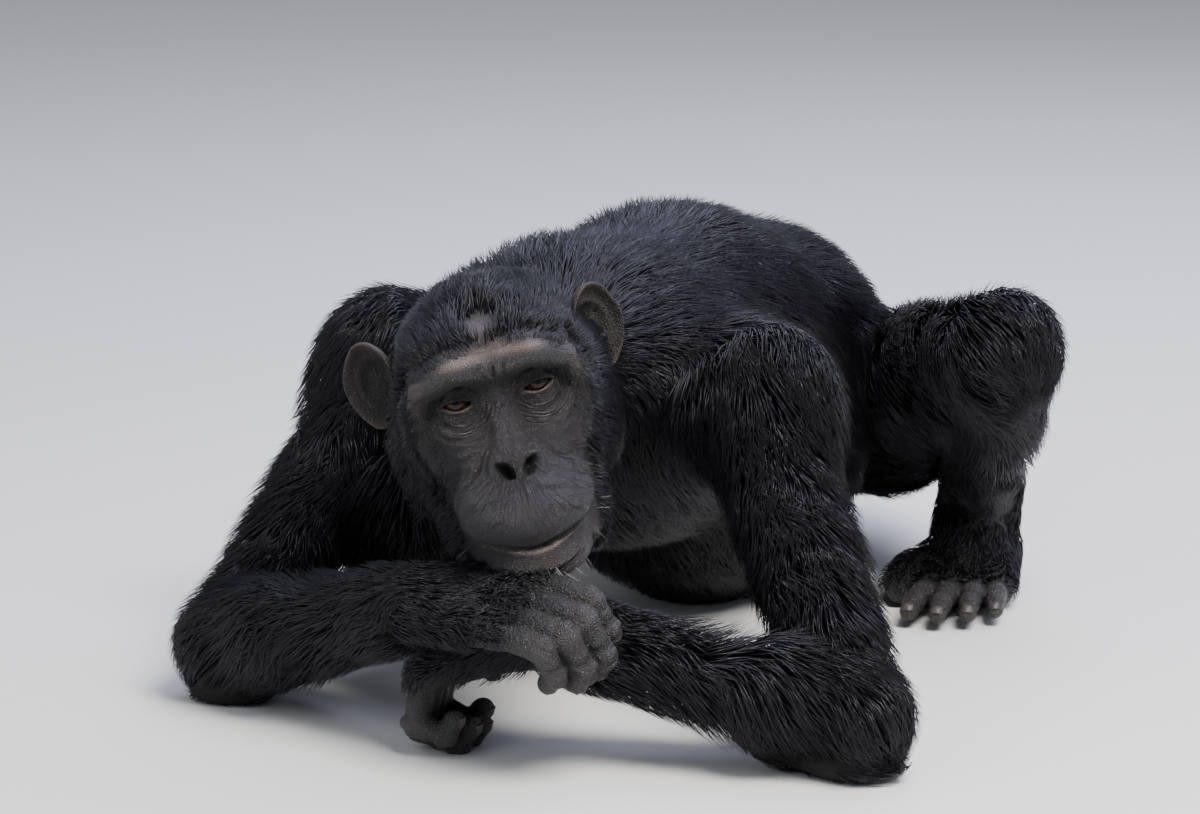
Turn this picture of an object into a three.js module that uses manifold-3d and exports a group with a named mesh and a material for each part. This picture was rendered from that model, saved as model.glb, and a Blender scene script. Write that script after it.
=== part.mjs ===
// A life-size still model of an adult chimpanzee, lying on its belly with its chin on its folded hands.
// Millimetres, +Z up, floor at z = 0. The spine runs along Y with the head towards -Y; +X is the animal's left.
import * as THREE from "three";
import Module from "manifold-3d";

const wasm = await Module();
wasm.setup();

// Driving dimensions
const GAP = 0.35; // between parts that meet face to face

// Joints, in the pose's own frame. SHOULDER and HIP are the left ones, and the right ones mirror them.
const SHOULDER = [154, 8, 226];
const ELBOW_L = [316, -178, 46];
const WRIST_L = [92, -232, 94];
const ELBOW_R = [-198, -194, 46];
const WRIST_R = [2, -256, 110];
const HIP = [85, 450, 135];
const KNEE_L = [262, 275, 230];
const ANKLE_L = [202, 402, 57];
const KNEE_R = [-250, 262, 178];
const ANKLE_R = [-196, 430, 57];

// The head's frame: where it is, and how it turns, nods and leans
const HEAD = [21, -170, 253];
const HEAD_TURN = 31;
const HEAD_NOD = 1;
const HEAD_LEAN = 14;
const EYE = [30.5, 71, 21];
const EYE_R = 12;

// The coat's depth on the body and on the head, and how much of it the solid core under the locks takes up
const COAT_DEPTH = 26;
const HEAD_COAT_DEPTH = 15;
const CORE_SHARE = 0.5;
const ROOT_SUNK = 9;
// The locks of each region: how far apart they grow, and their length, half width and thickness
const TRUNK_LOCKS = { apart: 118, length: 190, half: 44, thick: 7 };
const NECK_LOCKS = { apart: 66, length: 110, half: 28, thick: 6.5 };
const HEAD_LOCKS = { apart: 44, length: 68, half: 18, thick: 5 };
const UPPER_ARM_LOCKS = { apart: 80, length: 136, half: 32, thick: 7 };
const FOREARM_LOCKS = { apart: 62, length: 112, half: 26, thick: 6.5 };
const THIGH_LOCKS = { apart: 84, length: 136, half: 33, thick: 7 };
const SHIN_LOCKS = { apart: 66, length: 108, half: 25, thick: 6.5 };

// Colours
const COAT = 0x14131a;
const SKIN = 0x3a3640;
const EAR_SKIN = 0x5a463c;
const IRIS = 0x4a2a14;

// Vectors as plain arrays
const add = (a, b) => [a[0] + b[0], a[1] + b[1], a[2] + b[2]];
const sub = (a, b) => [a[0] - b[0], a[1] - b[1], a[2] - b[2]];
const mul = (a, s) => [a[0] * s, a[1] * s, a[2] * s];
const dot = (a, b) => a[0] * b[0] + a[1] * b[1] + a[2] * b[2];
const cross = (a, b) => [a[1] * b[2] - a[2] * b[1], a[2] * b[0] - a[0] * b[2], a[0] * b[1] - a[1] * b[0]];
const size = (a) => Math.hypot(a[0], a[1], a[2]);
const unit = (a) => mul(a, 1 / (size(a) || 1));
const mix = (a, b, t) => add(mul(a, 1 - t), mul(b, t));
const flip = (a) => [-a[0], a[1], a[2]];
const clamp = (v, low, high) => Math.min(high, Math.max(low, v));
const rad = (degrees) => (degrees * Math.PI) / 180;

// Axes of the head: left, forward and up, in the pose's frame
const [headLeft, headFront, headUp] = (() => {
  const [turn, nod, lean] = [rad(HEAD_TURN), rad(HEAD_NOD), rad(HEAD_LEAN)];
  const front = [Math.sin(turn), -Math.cos(turn), 0];
  const left = [Math.cos(turn), Math.sin(turn), 0];
  const forward = add(mul(front, Math.cos(nod)), [0, 0, -Math.sin(nod)]);
  const top = add([0, 0, Math.cos(nod)], mul(front, Math.sin(nod)));
  const up = add(mul(top, Math.cos(lean)), mul(left, -Math.sin(lean)));
  return [add(mul(left, Math.cos(lean)), mul(top, Math.sin(lean))), forward, up];
})();
const fromHead = (q) => add(add(add(HEAD, mul(headLeft, q[0])), mul(headFront, q[1])), mul(headUp, q[2]));
const toHead = (p) => {
  const d = sub(p, HEAD);
  return [dot(d, headLeft), dot(d, headFront), dot(d, headUp)];
};

// Distance to a rod with round ends whose radius runs from ra to rb
const rod = (p, a, b, ra, rb) => {
  const ab = sub(b, a);
  const t = clamp(dot(sub(p, a), ab) / dot(ab, ab), 0, 1);
  return size(sub(p, mix(a, b, t))) - (ra + (rb - ra) * t);
};
// Distance to an upright ellipsoid, nearly
const egg = (p, c, r) => {
  const q = sub(p, c);
  const near = Math.hypot(q[0] / r[0], q[1] / r[1], q[2] / r[2]);
  const slope = Math.hypot(q[0] / r[0] ** 2, q[1] / r[1] ** 2, q[2] / r[2] ** 2);
  return slope ? (near * (near - 1)) / slope : -Math.min(...r);
};
// The lower of two distances, with a fillet of about k where they meet
const melt = (a, b, k) => {
  const h = Math.max(k - Math.abs(a - b), 0) / k;
  return Math.min(a, b) - (h * h * k) / 4;
};
const meltAll = (k, ...d) => d.reduce((a, b) => melt(a, b, k));

// The trunk: chest, arched back, belly, loins, hips and seat
const trunk = (p) => {
  const m = [Math.abs(p[0]), p[1], p[2]];
  return meltAll(
    45,
    egg(p, [0, 55, 215], [150, 148, 132]),
    egg(p, [0, 5, 245], [158, 82, 76]),
    egg(p, [0, 190, 205], [148, 160, 150]),
    egg(p, [0, 265, 118], [136, 172, 122]),
    egg(p, [0, 335, 188], [134, 150, 134]),
    egg(p, [0, 440, 150], [124, 118, 116]),
    egg(m, [58, 492, 112], [68, 72, 74]),
  );
};
const neck = (p) => rod(p, [0, -25, 260], [16, -125, 264], 88, 72);

// The head with its coat, in its own frame: x left, y forward, z up
const headShape = (q) => {
  const m = [Math.abs(q[0]), q[1], q[2]];
  const vault = meltAll(
    24,
    egg(q, [0, -8, 34], [70, 84, 62]),
    egg(q, [0, 46, 34], [50, 36, 34]),
    rod(m, [50, 14, -34], [34, 60, -84], 30, 24),
    egg(m, [66, 2, -22], [26, 36, 56]),
    rod(q, [0, -10, -50], [0, 40, -84], 46, 34),
  );
  const face = meltAll(
    12,
    egg(q, [0, 38, -2], [58, 38, 50]),
    rod(m, [60, 60, 13], [57, 52, -8], 9, 13),
    rod(m, [57, 52, -8], [46, 60, -26], 13, 15),
    egg(q, [0, 80, -54], [50, 56, 40]),
    egg(q, [0, 94, -60], [47, 45, 30]),
    egg(q, [0, 74, -94], [44, 50, 26]),
    egg(q, [0, 98, -100], [34, 32, 19]),
    rod(q, [0, 70, 22], [0, 98, -14], 11, 12),
    egg(q, [0, 106, -20], [20, 12, 10]),
  );
  const brow = Math.min(
    rod(m, [0, 86, 42], [30, 88, 49], 10, 11.5),
    rod(m, [30, 88, 49], [54, 75, 36], 11.5, 10),
    rod(m, [54, 75, 36], [61, 60, 14], 10, 9),
  );
  const lids = egg(m, EYE, [16.5, 14.3, 14.3]);
  return melt(melt(melt(vault, face, 16), brow, 10), lids, 5);
};
const head = (p) => headShape(toHead(p));

const upperArm = (p, side) => {
  const m = side > 0 ? p : flip(p);
  const elbow = side > 0 ? ELBOW_L : flip(ELBOW_R);
  return melt(egg(m, SHOULDER, [74, 72, 74]), rod(m, SHOULDER, elbow, 62, 47), 40);
};
const foreArm = (p, side) => {
  const [elbow, wrist] = side > 0 ? [ELBOW_L, WRIST_L] : [ELBOW_R, WRIST_R];
  const belly = mix(elbow, wrist, 0.3);
  return melt(rod(p, elbow, belly, 47, 49), rod(p, belly, wrist, 49, 29), 20);
};
const thigh = (p, { hip, knee }) => melt(rod(p, hip, knee, 92, 56), egg(p, knee, [54, 54, 54]), 20);
const shin = (p, { knee, ankle }) => {
  const calf = mix(knee, ankle, 0.4);
  return melt(rod(p, knee, calf, 52, 50), rod(p, calf, ankle, 50, 31), 20);
};

// How deep the coat is at a point: full on the body, shorter on the head and towards the wrists and ankles,
// pressed flat on the floor, and none on the bare face
const ease = (t) => {
  const c = clamp(t, 0, 1);
  return c * c * (3 - 2 * c);
};
const bareFace = (q) => {
  const halfWidth = q[2] > 0 ? 66 : 66 + q[2] * 0.16;
  return 1 - ease(Math.max((Math.abs(q[0]) - halfWidth) / 10, (q[2] - 58) / 14, (34 - q[1]) / 18, (-112 - q[2]) / 10));
};
const coat = (p) => {
  const ends = Math.min(...[WRIST_L, WRIST_R, ANKLE_L, ANKLE_R].map((joint) => size(sub(p, joint))));
  const q = toHead(p);
  const onHead = 1 - ease((size(q) - 105) / 60);
  const depth = COAT_DEPTH + (HEAD_COAT_DEPTH - COAT_DEPTH) * onHead;
  return depth * ease((ends - 25) / 85) * ease((p[2] - 3) / 34) * (1 - bareFace(q) * onHead);
};
const cored = (field) => (p) => field(p) + CORE_SHARE * coat(p);

// Walks a grid of unevenly spaced planes and gives the surface where the field is 0: one vertex in each cell
// that the surface crosses, pulled onto it by the field's slope, and one quad round each edge that it crosses.
const slopeOf = (field, p) => {
  const e = 0.5;
  const at = [0, 1, 2].map((i) => {
    const step = [0, 0, 0];
    step[i] = e;
    return (field(add(p, step)) - field(sub(p, step))) / (2 * e);
  });
  return at;
};
const pull = (field, p, level = 0) => {
  for (let i = 0; i < 4; i++) {
    const g = slopeOf(field, p);
    p = sub(p, mul(g, (field(p) - level) / Math.max(dot(g, g), 0.05)));
  }
  return p;
};
const steps = (from, to, cell) => {
  const n = Math.ceil((to - from) / cell);
  return Array.from({ length: n + 1 }, (_, i) => from + ((to - from) * i) / n);
};
const surface = (field, xs, ys, zs, place = (q) => q) => {
  const [nx, ny, nz] = [xs.length, ys.length, zs.length];
  const id = (i, j, k) => (i * ny + j) * nz + k;
  const value = new Float64Array(nx * ny * nz);
  for (let i = 0; i < nx; i++)
    for (let j = 0; j < ny; j++)
      for (let k = 0; k < nz; k++) {
        const rim = !i || !j || !k || i === nx - 1 || j === ny - 1 || k === nz - 1;
        const d = field(place([xs[i], ys[j], zs[k]]));
        value[id(i, j, k)] = rim ? Math.max(d, 1) : d || 1e-6;
      }
  const corner = (n) => [n & 1, (n >> 1) & 1, (n >> 2) & 1];
  const vertices = [];
  const cellVertex = new Map();
  for (let i = 0; i < nx - 1; i++)
    for (let j = 0; j < ny - 1; j++)
      for (let k = 0; k < nz - 1; k++) {
        let sum = [0, 0, 0];
        let count = 0;
        for (let n = 0; n < 8; n++)
          for (let axis = 0; axis < 3; axis++) {
            const c = corner(n);
            if (c[axis]) continue;
            const e = [...c];
            e[axis] = 1;
            const va = value[id(i + c[0], j + c[1], k + c[2])];
            const vb = value[id(i + e[0], j + e[1], k + e[2])];
            if (va < 0 === vb < 0) continue;
            const a = [xs[i + c[0]], ys[j + c[1]], zs[k + c[2]]];
            const b = [xs[i + e[0]], ys[j + e[1]], zs[k + e[2]]];
            sum = add(sum, mix(a, b, va / (va - vb)));
            count++;
          }
        if (!count) continue;
        cellVertex.set(id(i, j, k), vertices.length);
        const inside = i && j && k && i < nx - 2 && j < ny - 2 && k < nz - 2;
        const p = place(mul(sum, 1 / count));
        const on = inside ? pull(field, p) : p;
        const reach = 0.6 * Math.max(xs[i + 1] - xs[i], ys[j + 1] - ys[j], zs[k + 1] - zs[k]);
        vertices.push(size(sub(on, p)) < reach ? on : p);
      }
  const triangles = [];
  const quad = (a, b, c, d, turned) => {
    const ring = [a, b, c, d].map((n) => cellVertex.get(n));
    if (turned) ring.reverse();
    const [p, q, r, s] = ring.map((n) => vertices[n]);
    const short = size(sub(p, r)) < size(sub(q, s));
    const [w, x, y, z] = ring;
    triangles.push(...(short ? [w, x, y, w, y, z] : [w, x, z, x, y, z]));
  };
  const turns = [[[0, 1, 0], [0, 0, 1]], [[0, 0, 1], [1, 0, 0]], [[1, 0, 0], [0, 1, 0]]];
  for (let i = 0; i < nx - 1; i++)
    for (let j = 0; j < ny - 1; j++)
      for (let k = 0; k < nz - 1; k++)
        turns.forEach(([u, v], axis) => {
          const at = [i, j, k];
          if (at.some((n, a) => a !== axis && !n)) return;
          const next = at.map((n, a) => n + (a === axis));
          const here = value[id(...at)] < 0;
          if (here === value[id(...next)] < 0) return;
          const cell = (...less) => id(...at.map((n, a) => n - less.reduce((t, w) => t + w[a], 0)));
          quad(cell(), cell(u), cell(u, v), cell(v), !here);
        });
  return { vertices, triangles };
};

// A closed mesh as a solid, turned right side out. The head's left, front and up axes are a left-handed set.
const solid = ({ vertices, triangles }) => {
  const made = new wasm.Manifold(
    new wasm.Mesh({
      numProp: 3,
      vertProperties: new Float32Array(vertices.flat()),
      triVerts: new Uint32Array(triangles),
    }),
  );
  return made.volume() > 0 ? made : solid({ vertices, triangles: [...triangles].reverse() });
};
// The same faces with every vertex moved out along the field's slope
const swell = ({ vertices, triangles }, field, by) => ({
  triangles,
  vertices: vertices.map((p) => add(p, mul(unit(slopeOf(field, p)), by))),
});

// A three.js geometry as a solid, placed with its own axes along x, y and z
const fromGeometry = (geometry, at = [0, 0, 0], x = [1, 0, 0], y = [0, 1, 0], z = [0, 0, 1]) => {
  const position = geometry.getAttribute("position");
  const seen = new Map();
  const vertices = [];
  const index = geometry.index ? [...geometry.index.array] : [...Array(position.count).keys()];
  const triangles = index.map((n) => {
    const q = [position.getX(n), position.getY(n), position.getZ(n)];
    const key = q.map((v) => Math.round(v * 1e4)).join();
    if (!seen.has(key)) {
      seen.set(key, vertices.length);
      vertices.push(add(at, add(add(mul(x, q[0]), mul(y, q[1])), mul(z, q[2]))));
    }
    return seen.get(key);
  });
  const kept = [];
  for (let i = 0; i < triangles.length; i += 3) {
    const [a, b, c] = triangles.slice(i, i + 3);
    if (a !== b && b !== c && c !== a) kept.push(a, b, c);
  }
  return solid({ vertices, triangles: kept });
};

// Everything on the side of a plane that its normal points to, as one big box
const REACH = 1400;
const beyond = (point, normal, shift = 0) => {
  const n = unit(normal);
  const side = unit(cross(Math.abs(n[2]) < 0.9 ? [0, 0, 1] : [1, 0, 0], n));
  const box = new THREE.BoxGeometry(REACH, REACH, REACH);
  return fromGeometry(box, add(point, mul(n, REACH / 2 + shift)), side, cross(n, side), n);
};
const cut = (body, ...planes) =>
  planes.reduce((s, [point, normal]) => s.intersect(beyond(point, normal, GAP / 2)), body);
const largest = (body) => body.decompose().reduce((a, b) => (a.volume() > b.volume() ? a : b));
const floorCut = (body) => body.intersect(beyond([0, 0, 0], [0, 0, 1]));

// A tube with round ends along a few points. wide and thick scale its section; over is the way its back faces.
// A blunt one is only drawn to a point at its start, where it is sunk in something else.
const limb = (points, radii, over, wide = 1, thick = 1, sides = 6, blunt = true) => {
  const rings = [];
  const ring = (centre, along, r) => {
    const across = unit(cross(along, over));
    const back = cross(across, along);
    for (let n = 0; n < sides; n++) {
      const turn = (2 * Math.PI * n) / sides;
      const out = add(mul(across, Math.cos(turn) * wide * r), mul(back, Math.sin(turn) * thick * r));
      rings.push(add(centre, out));
    }
  };
  const last = points.length - 1;
  const heading = (n) => unit(sub(points[Math.min(n + 1, last)], points[Math.max(n - 1, 0)]));
  const roundTo = 0.72;
  const tip = (n, way) => add(points[n], mul(heading(n), way * radii[n]));
  const cap = (n, way) =>
    ring(add(points[n], mul(heading(n), way * roundTo * radii[n])), heading(n), radii[n] * Math.sqrt(1 - roundTo ** 2));
  if (!blunt) cap(0, -1);
  points.forEach((p, n) => ring(p, heading(n), radii[n]));
  cap(last, 1);
  const count = rings.length / sides;
  const vertices = [...rings, tip(0, -1), tip(last, 1)];
  const triangles = [];
  for (let n = 0; n < sides; n++) {
    const m = (n + 1) % sides;
    for (let r = 0; r < count - 1; r++) {
      const [a, b, c, d] = [r * sides + n, r * sides + m, (r + 1) * sides + m, (r + 1) * sides + n];
      triangles.push(a, b, c, a, c, d);
    }
    triangles.push(rings.length, m, n);
    triangles.push(rings.length + 1, (count - 1) * sides + n, (count - 1) * sides + m);
  }
  return solid({ vertices, triangles });
};
const join = (pieces) => pieces.reduce((a, b) => a.add(b));

// Random numbers from 0 to 1 that are the same in each run
const seeded = (state) => () => {
  state = (Math.imul(state, 1664525) + 1013904223) >>> 0;
  return state / 2 ** 32;
};
// Points spread over a mesh, no two closer than the distance given, where wanted says so
const DARTS = 2600;
const scatter = ({ vertices, triangles }, apart, wanted, random) => {
  const sums = [];
  let total = 0;
  for (let i = 0; i < triangles.length; i += 3) {
    const [a, b, c] = [0, 1, 2].map((n) => vertices[triangles[i + n]]);
    total += size(cross(sub(b, a), sub(c, a)));
    sums.push(total);
  }
  const points = [];
  for (let n = 0; n < DARTS; n++) {
    const aim = random() * total;
    const i = 3 * sums.findIndex((sum) => sum >= aim);
    const [a, b, c] = [0, 1, 2].map((m) => vertices[triangles[i + m]]);
    const [u, v] = [random(), random()];
    const [s, t] = u + v > 1 ? [1 - u, 1 - v] : [u, v];
    const p = add(a, add(mul(sub(b, a), s), mul(sub(c, a), t)));
    if (wanted(p) && points.every((other) => size(sub(p, other)) > apart)) points.push(p);
  }
  return points;
};

// A lock of hair: a flat tapered ridge whose root is sunk in the core. It runs along the lie of the coat and
// rises through it, so that its tip is at the coat's outside. Each row is how far along, how wide, how thick,
// and how high over the core's surface, from 0 there to 1 at the coat's outside.
const EDGE_DROP = 0.55;
const LOCK_RINGS = [[0, 0.55, 0.5, 0], [0.3, 1, 1, 0.5], [0.68, 0.78, 0.8, 0.9]];
const lock = (field, root, way, { length, half, thick }, random) => {
  const vertices = [];
  const grown = length * (0.8 + 0.4 * random());
  const wide = half * (0.85 + 0.3 * random());
  const veer = 0.5 * (random() - 0.5);
  let p = root;
  let far = 0;
  const normalAt = (at) => unit(slopeOf(field, at));
  const step = (to, rise) => {
    const n = normalAt(p);
    const lie = unit(way(p));
    const flat = unit(sub(lie, mul(n, dot(lie, n))));
    const turnedWay = unit(add(flat, mul(cross(n, flat), veer)));
    const base = -CORE_SHARE * coat(p);
    const tip = -0.4 * thick;
    p = pull(field, add(p, mul(turnedWay, (to - far) * grown)), to ? base + (tip - base) * rise : base - ROOT_SUNK);
    far = to;
    return turnedWay;
  };
  LOCK_RINGS.forEach(([to, width, height, rise]) => {
    const heading = step(to, rise);
    const n = normalAt(p);
    const level = field(p);
    const across = mul(unit(cross(n, heading)), wide * width);
    const edge = (flat) => mix(flat, pull(field, flat, level), EDGE_DROP);
    vertices.push(edge(add(p, across)), add(p, mul(n, thick * height)), edge(sub(p, across)));
  });
  step(1, 1);
  vertices.push(p);
  const triangles = [0, 1, 2];
  const rings = LOCK_RINGS.length;
  for (let r = 0; r < rings; r++)
    for (let n = 0; n < 3; n++) {
      const [a, b] = [3 * r + n, 3 * r + ((n + 1) % 3)];
      if (r === rings - 1) triangles.push(b, a, 3 * rings);
      else triangles.push(b, a, a + 3, b, a + 3, b + 3);
    }
  const lies = vertices.every((q) => q[2] > 1 && field(q) < thick);
  return lies ? solid({ vertices, triangles }) : null;
};
// A core with its locks grown on it, all fused
const furred = (core, mesh, field, wanted, way, kind, seed) => {
  const random = seeded(seed);
  const roots = scatter(mesh, kind.apart, (p) => p[2] > 14 && wanted(p), random);
  return join([core, ...roots.map((root) => lock(field, root, way, kind, random)).filter(Boolean)]);
};
const beforePlanes = (planes, margin = 0) => (p) => planes.every(([point, normal]) => dot(sub(p, point), unit(normal)) > margin);

// A finger or toe: bones end to end, each bent further towards the palm
const digit = (root, along, palm, bones, bends, radii, over) => {
  const points = [root];
  let angle = 0;
  bones.forEach((length, n) => {
    angle += rad(bends[n]);
    const way = add(mul(along, Math.cos(angle)), mul(palm, Math.sin(angle)));
    points.push(add(points[n], mul(way, length)));
  });
  return limb(points, radii, over, 1, 1, 5);
};
const FINGERS = [
  { across: -29, bones: [44, 28, 17], radii: [12, 10.8, 9.8, 7.6] },
  { across: -10, bones: [50, 33, 18], radii: [12.5, 11.2, 10.2, 8] },
  { across: 10, bones: [48, 31, 18], radii: [12.2, 11, 10, 7.8] },
  { across: 28, bones: [39, 24, 15], radii: [11, 10, 9, 7] },
];
const THUMB = { bones: [34, 26, 18], radii: [14, 10, 9, 7] };

// A hand from its wrist to its knuckle line. back is the way the back of the hand faces.
const hand = (wrist, knuckles, back, thumbSide, bends) => {
  const along = unit(sub(knuckles, wrist));
  const out = unit(sub(back, mul(along, dot(back, along))));
  const across = mul(unit(cross(along, out)), thumbSide);
  const palm = mul(out, -1);
  const metacarpals = FINGERS.map(({ across: w, radii }) => {
    const knuckle = add(knuckles, mul(across, w));
    const start = add(add(wrist, mul(across, w * 0.45)), mul(along, 4));
    return limb([start, knuckle], [20, radii[0] + 3], out, 1, 0.95, 5);
  });
  const fingers = FINGERS.map(({ across: w, bones, radii }, n) =>
    digit(add(knuckles, mul(across, w)), along, palm, bones, bends.map((b, i) => b + n * (i ? 0 : 2)), radii, out));
  const thumbRoot = add(add(wrist, mul(across, -24)), mul(along, 14));
  const thumbWay = unit(add(mul(along, 0.85), mul(across, -0.5)));
  const thumb = digit(thumbRoot, thumbWay, palm, THUMB.bones, [12, 14, 16], THUMB.radii, out);
  const root = limb([sub(wrist, mul(along, 34)), wrist, add(wrist, mul(along, 20))], [27, 27, 22], out, 1.1, 0.92, 8);
  return join([root, ...metacarpals, ...fingers, thumb]);
};

// A foot, flat on the floor, with a grasping great toe. Built on the left and mirrored for the right.
const TOES = [
  { across: -24, bones: [36, 24, 16], radii: [11.5, 10, 9, 7] },
  { across: -5, bones: [40, 27, 17], radii: [11.5, 10, 9, 7] },
  { across: 13, bones: [38, 25, 16], radii: [11, 9.6, 8.6, 6.8] },
  { across: 30, bones: [32, 20, 14], radii: [10.5, 9, 8, 6.2] },
];
const FOOT_WAY = unit([0.2, -0.98, 0]);
const foot = ({ side, knee, ankle }) => {
  const way = side > 0 ? FOOT_WAY : flip(FOOT_WAY);
  const across = mul(unit(cross([0, 0, 1], way)), side);
  const at = (forward, aside, height) => {
    const flat = add(mul(way, forward), mul(across, aside));
    return [ankle[0] + flat[0], ankle[1] + flat[1], height];
  };
  const up = [0, 0, 1];
  const pieces = TOES.flatMap(({ across: w, bones, radii }, n) => {
    const ball = at(104 - 4 * n, w, 13);
    return [
      limb([at(-14, w * 0.3, 24), ball], [25, 15], up, 1, 0.92, 5),
      digit(ball, unit(add(way, mul(across, w * 0.004))), [0, 0, -1], bones, [-8, 10, 12], radii, up),
    ];
  });
  const shank = limb([mix(ankle, knee, 0.25), ankle, at(30, -2, 42), at(70, -2, 28)], [33, 31, 29, 22], way, 1, 1, 8);
  const heel = limb([at(-30, 0, 25), at(10, 0, 30)], [27, 28], up, 1, 1, 7, false);
  const greatToe = limb([at(22, -22, 20), at(62, -44, 18), at(92, -52, 15), at(112, -50, 12)], [18, 15, 13, 9.5], up);
  return join([shank, heel, ...pieces, greatToe]);
};

// An ear: a shallow bowl with its edge rolled forward, as rings from the middle to the rim, front and back
const EAR_ROOT = [74, -8, 28];
const EAR_HALF_HEIGHT = 36;
const earMesh = (side, grown = 0) => {
  const mirror = (q) => [q[0] * side, q[1], q[2]];
  const out = unit([0.84, -0.54, 0.05]);
  const face = unit([0.54, 0.84, 0]);
  const up = cross(face, out).map((v) => -v);
  const spot = (r, turn, lift) => {
    const reach = Math.cos(turn) > 0 ? 29 : 24;
    const tall = EAR_HALF_HEIGHT * (Math.sin(turn) > 0 ? 1 : 0.9);
    const s = 14 + reach * r * Math.cos(turn) - 3 * r * Math.max(0, -Math.sin(turn));
    const t = tall * r * Math.sin(turn);
    return fromHead(mirror(add(EAR_ROOT, add(add(mul(out, s), mul(up, t)), mul(face, lift)))));
  };
  const profile = [
    [0.3, grown - 7], [0.62, grown - 6], [0.84, grown], [0.95, grown + 5], [1 + grown * 0.04, 4],
    [0.98 + grown * 0.04, 0], [0.84, -5.5 - grown], [0.62, -10.5 - grown], [0.3, -11.5 - grown],
  ];
  const sides = 15;
  const vertices = profile.flatMap(([r, lift]) =>
    Array.from({ length: sides }, (_, n) => spot(r, (2 * Math.PI * n) / sides, lift)));
  vertices.push(spot(0, 0, -7.5 + grown), spot(0, 0, -12 - grown));
  const [front, backPole] = [vertices.length - 2, vertices.length - 1];
  const triangles = [];
  for (let n = 0; n < sides; n++) {
    const m = (n + 1) % sides;
    for (let r = 0; r < profile.length - 1; r++) {
      const [a, b, c, d] = [r * sides + n, r * sides + m, (r + 1) * sides + m, (r + 1) * sides + n];
      triangles.push(a, b, c, a, c, d);
    }
    const lastRing = (profile.length - 1) * sides;
    triangles.push(front, m, n, backPole, lastRing + n, lastRing + m);
  }
  return { vertices, triangles };
};

// Planes that part the body. Each is a point and the way that the outer part lies.
const halfway = (joint, inner, outer) => sub(unit(sub(outer, joint)), unit(sub(inner, joint)));
const along = (from, to) => unit(sub(to, from));
const turned = ([point, normal]) => [point, mul(normal, -1)];
const mirrored = ([point, normal]) => [flip(point), flip(normal)];

const NECK_FRONT = [fromHead([0, -46, 0]), headFront];
const NECK_BACK = [[0, -58, 250], [0.1, -1, 0.05]];
const ARMPIT = [[140, 50, 220], [0.9, -0.436, 0]];
const NAPE = [[88, -58, 250], [1, 0.1, 0]];
const GROIN = [[112, 478, 150], [0.96, 0.28, 0]];
const LOIN = [[0, 165, 0], [0, 1, 0]];
const WAIST = [[0, 335, 0], [0, 1, 0]];

// The long body of the animal, without forearms and feet, and its parts
const RIGHT = -1;
const LEFT = 1;
const legSides = {
  left: { side: LEFT, hip: HIP, knee: KNEE_L, ankle: ANKLE_L, groin: GROIN },
  right: { side: RIGHT, hip: flip(HIP), knee: KNEE_R, ankle: ANKLE_R, groin: mirrored(GROIN) },
};
const body = (p) => {
  const arms = melt(upperArm(p, LEFT), upperArm(p, RIGHT), 1);
  const thighs = melt(thigh(p, legSides.left), thigh(p, legSides.right), 1);
  return melt(melt(melt(trunk(p), neck(p), 50), arms, 42), thighs, 24);
};
const headAndNeck = (p) => melt(melt(trunk(p), neck(p), 50), head(p), 30);
const arm = (p, side) => melt(melt(melt(trunk(p), neck(p), 50), upperArm(p, side), 42), foreArm(p, side), 22);
const leg = (p, joints) => melt(melt(trunk(p), thigh(p, joints), 24), shin(p, joints), 20);

// The same solid with its very short edges drawn together, as cuts that graze a surface leave slivers.
// The first length is tried first, and a longer one where it leaves an edge with more than two faces.
const SHORT_EDGES = [0.06, 0.2, 0.5];
const drawnTogether = (body, shortEdge) => {
  const { numProp, vertProperties, triVerts } = body.getMesh();
  const vertices = Array.from({ length: vertProperties.length / numProp }, (_, n) => [
    ...vertProperties.subarray(n * numProp, n * numProp + 3),
  ]);
  const leader = vertices.map((_, n) => n);
  const lead = (n) => {
    while (leader[n] !== n) n = leader[n];
    return n;
  };
  for (let i = 0; i < triVerts.length; i++) {
    const [a, b] = [lead(triVerts[i]), lead(triVerts[i % 3 < 2 ? i + 1 : i - 2])];
    if (a !== b && size(sub(vertices[a], vertices[b])) < shortEdge) leader[b] = a;
  }
  const used = new Map();
  const triangles = [];
  for (let i = 0; i < triVerts.length; i += 3) {
    const corners = [0, 1, 2].map((n) => lead(triVerts[i + n]));
    if (new Set(corners).size < 3) continue;
    triangles.push(...corners.map((n) => used.get(n) ?? used.set(n, used.size).get(n)));
  }
  return { vertices: [...used.keys()].map((n) => vertices[n]), triangles };
};
const everyEdgeTwice = ({ triangles }) => {
  const times = new Map();
  triangles.forEach((a, i) => {
    const b = triangles[i % 3 < 2 ? i + 1 : i - 2];
    const key = a < b ? a + "," + b : b + "," + a;
    times.set(key, (times.get(key) ?? 0) + 1);
  });
  return [...times.values()].every((n) => n === 2);
};
// Where the surface touches itself, two of its corners lie in one place. Each is drawn a hair back into its own sheet.
const HAIR = 0.03;
const unpinched = ({ vertices, triangles }) => {
  const place = (p) => p.map((v) => v.toFixed(2)).join();
  const times = new Map();
  vertices.forEach((p) => times.set(place(p), (times.get(place(p)) ?? 0) + 1));
  const around = vertices.map(() => []);
  triangles.forEach((a, i) => around[a].push(triangles[i % 3 < 2 ? i + 1 : i - 2]));
  const drawn = vertices.map((p, n) => {
    if (times.get(place(p)) === 1) return p;
    const centre = mul(around[n].reduce((sum, m) => add(sum, vertices[m]), [0, 0, 0]), 1 / around[n].length);
    return add(p, mul(unit(sub(centre, p)), HAIR));
  });
  return { vertices: drawn, triangles };
};
const withoutSlivers = (body) => {
  const mesh = SHORT_EDGES.map((shortEdge) => drawnTogether(body, shortEdge)).find(everyEdgeTwice);
  return mesh ? solid(unpinched(mesh)) : body;
};
const nodes = [];
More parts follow.
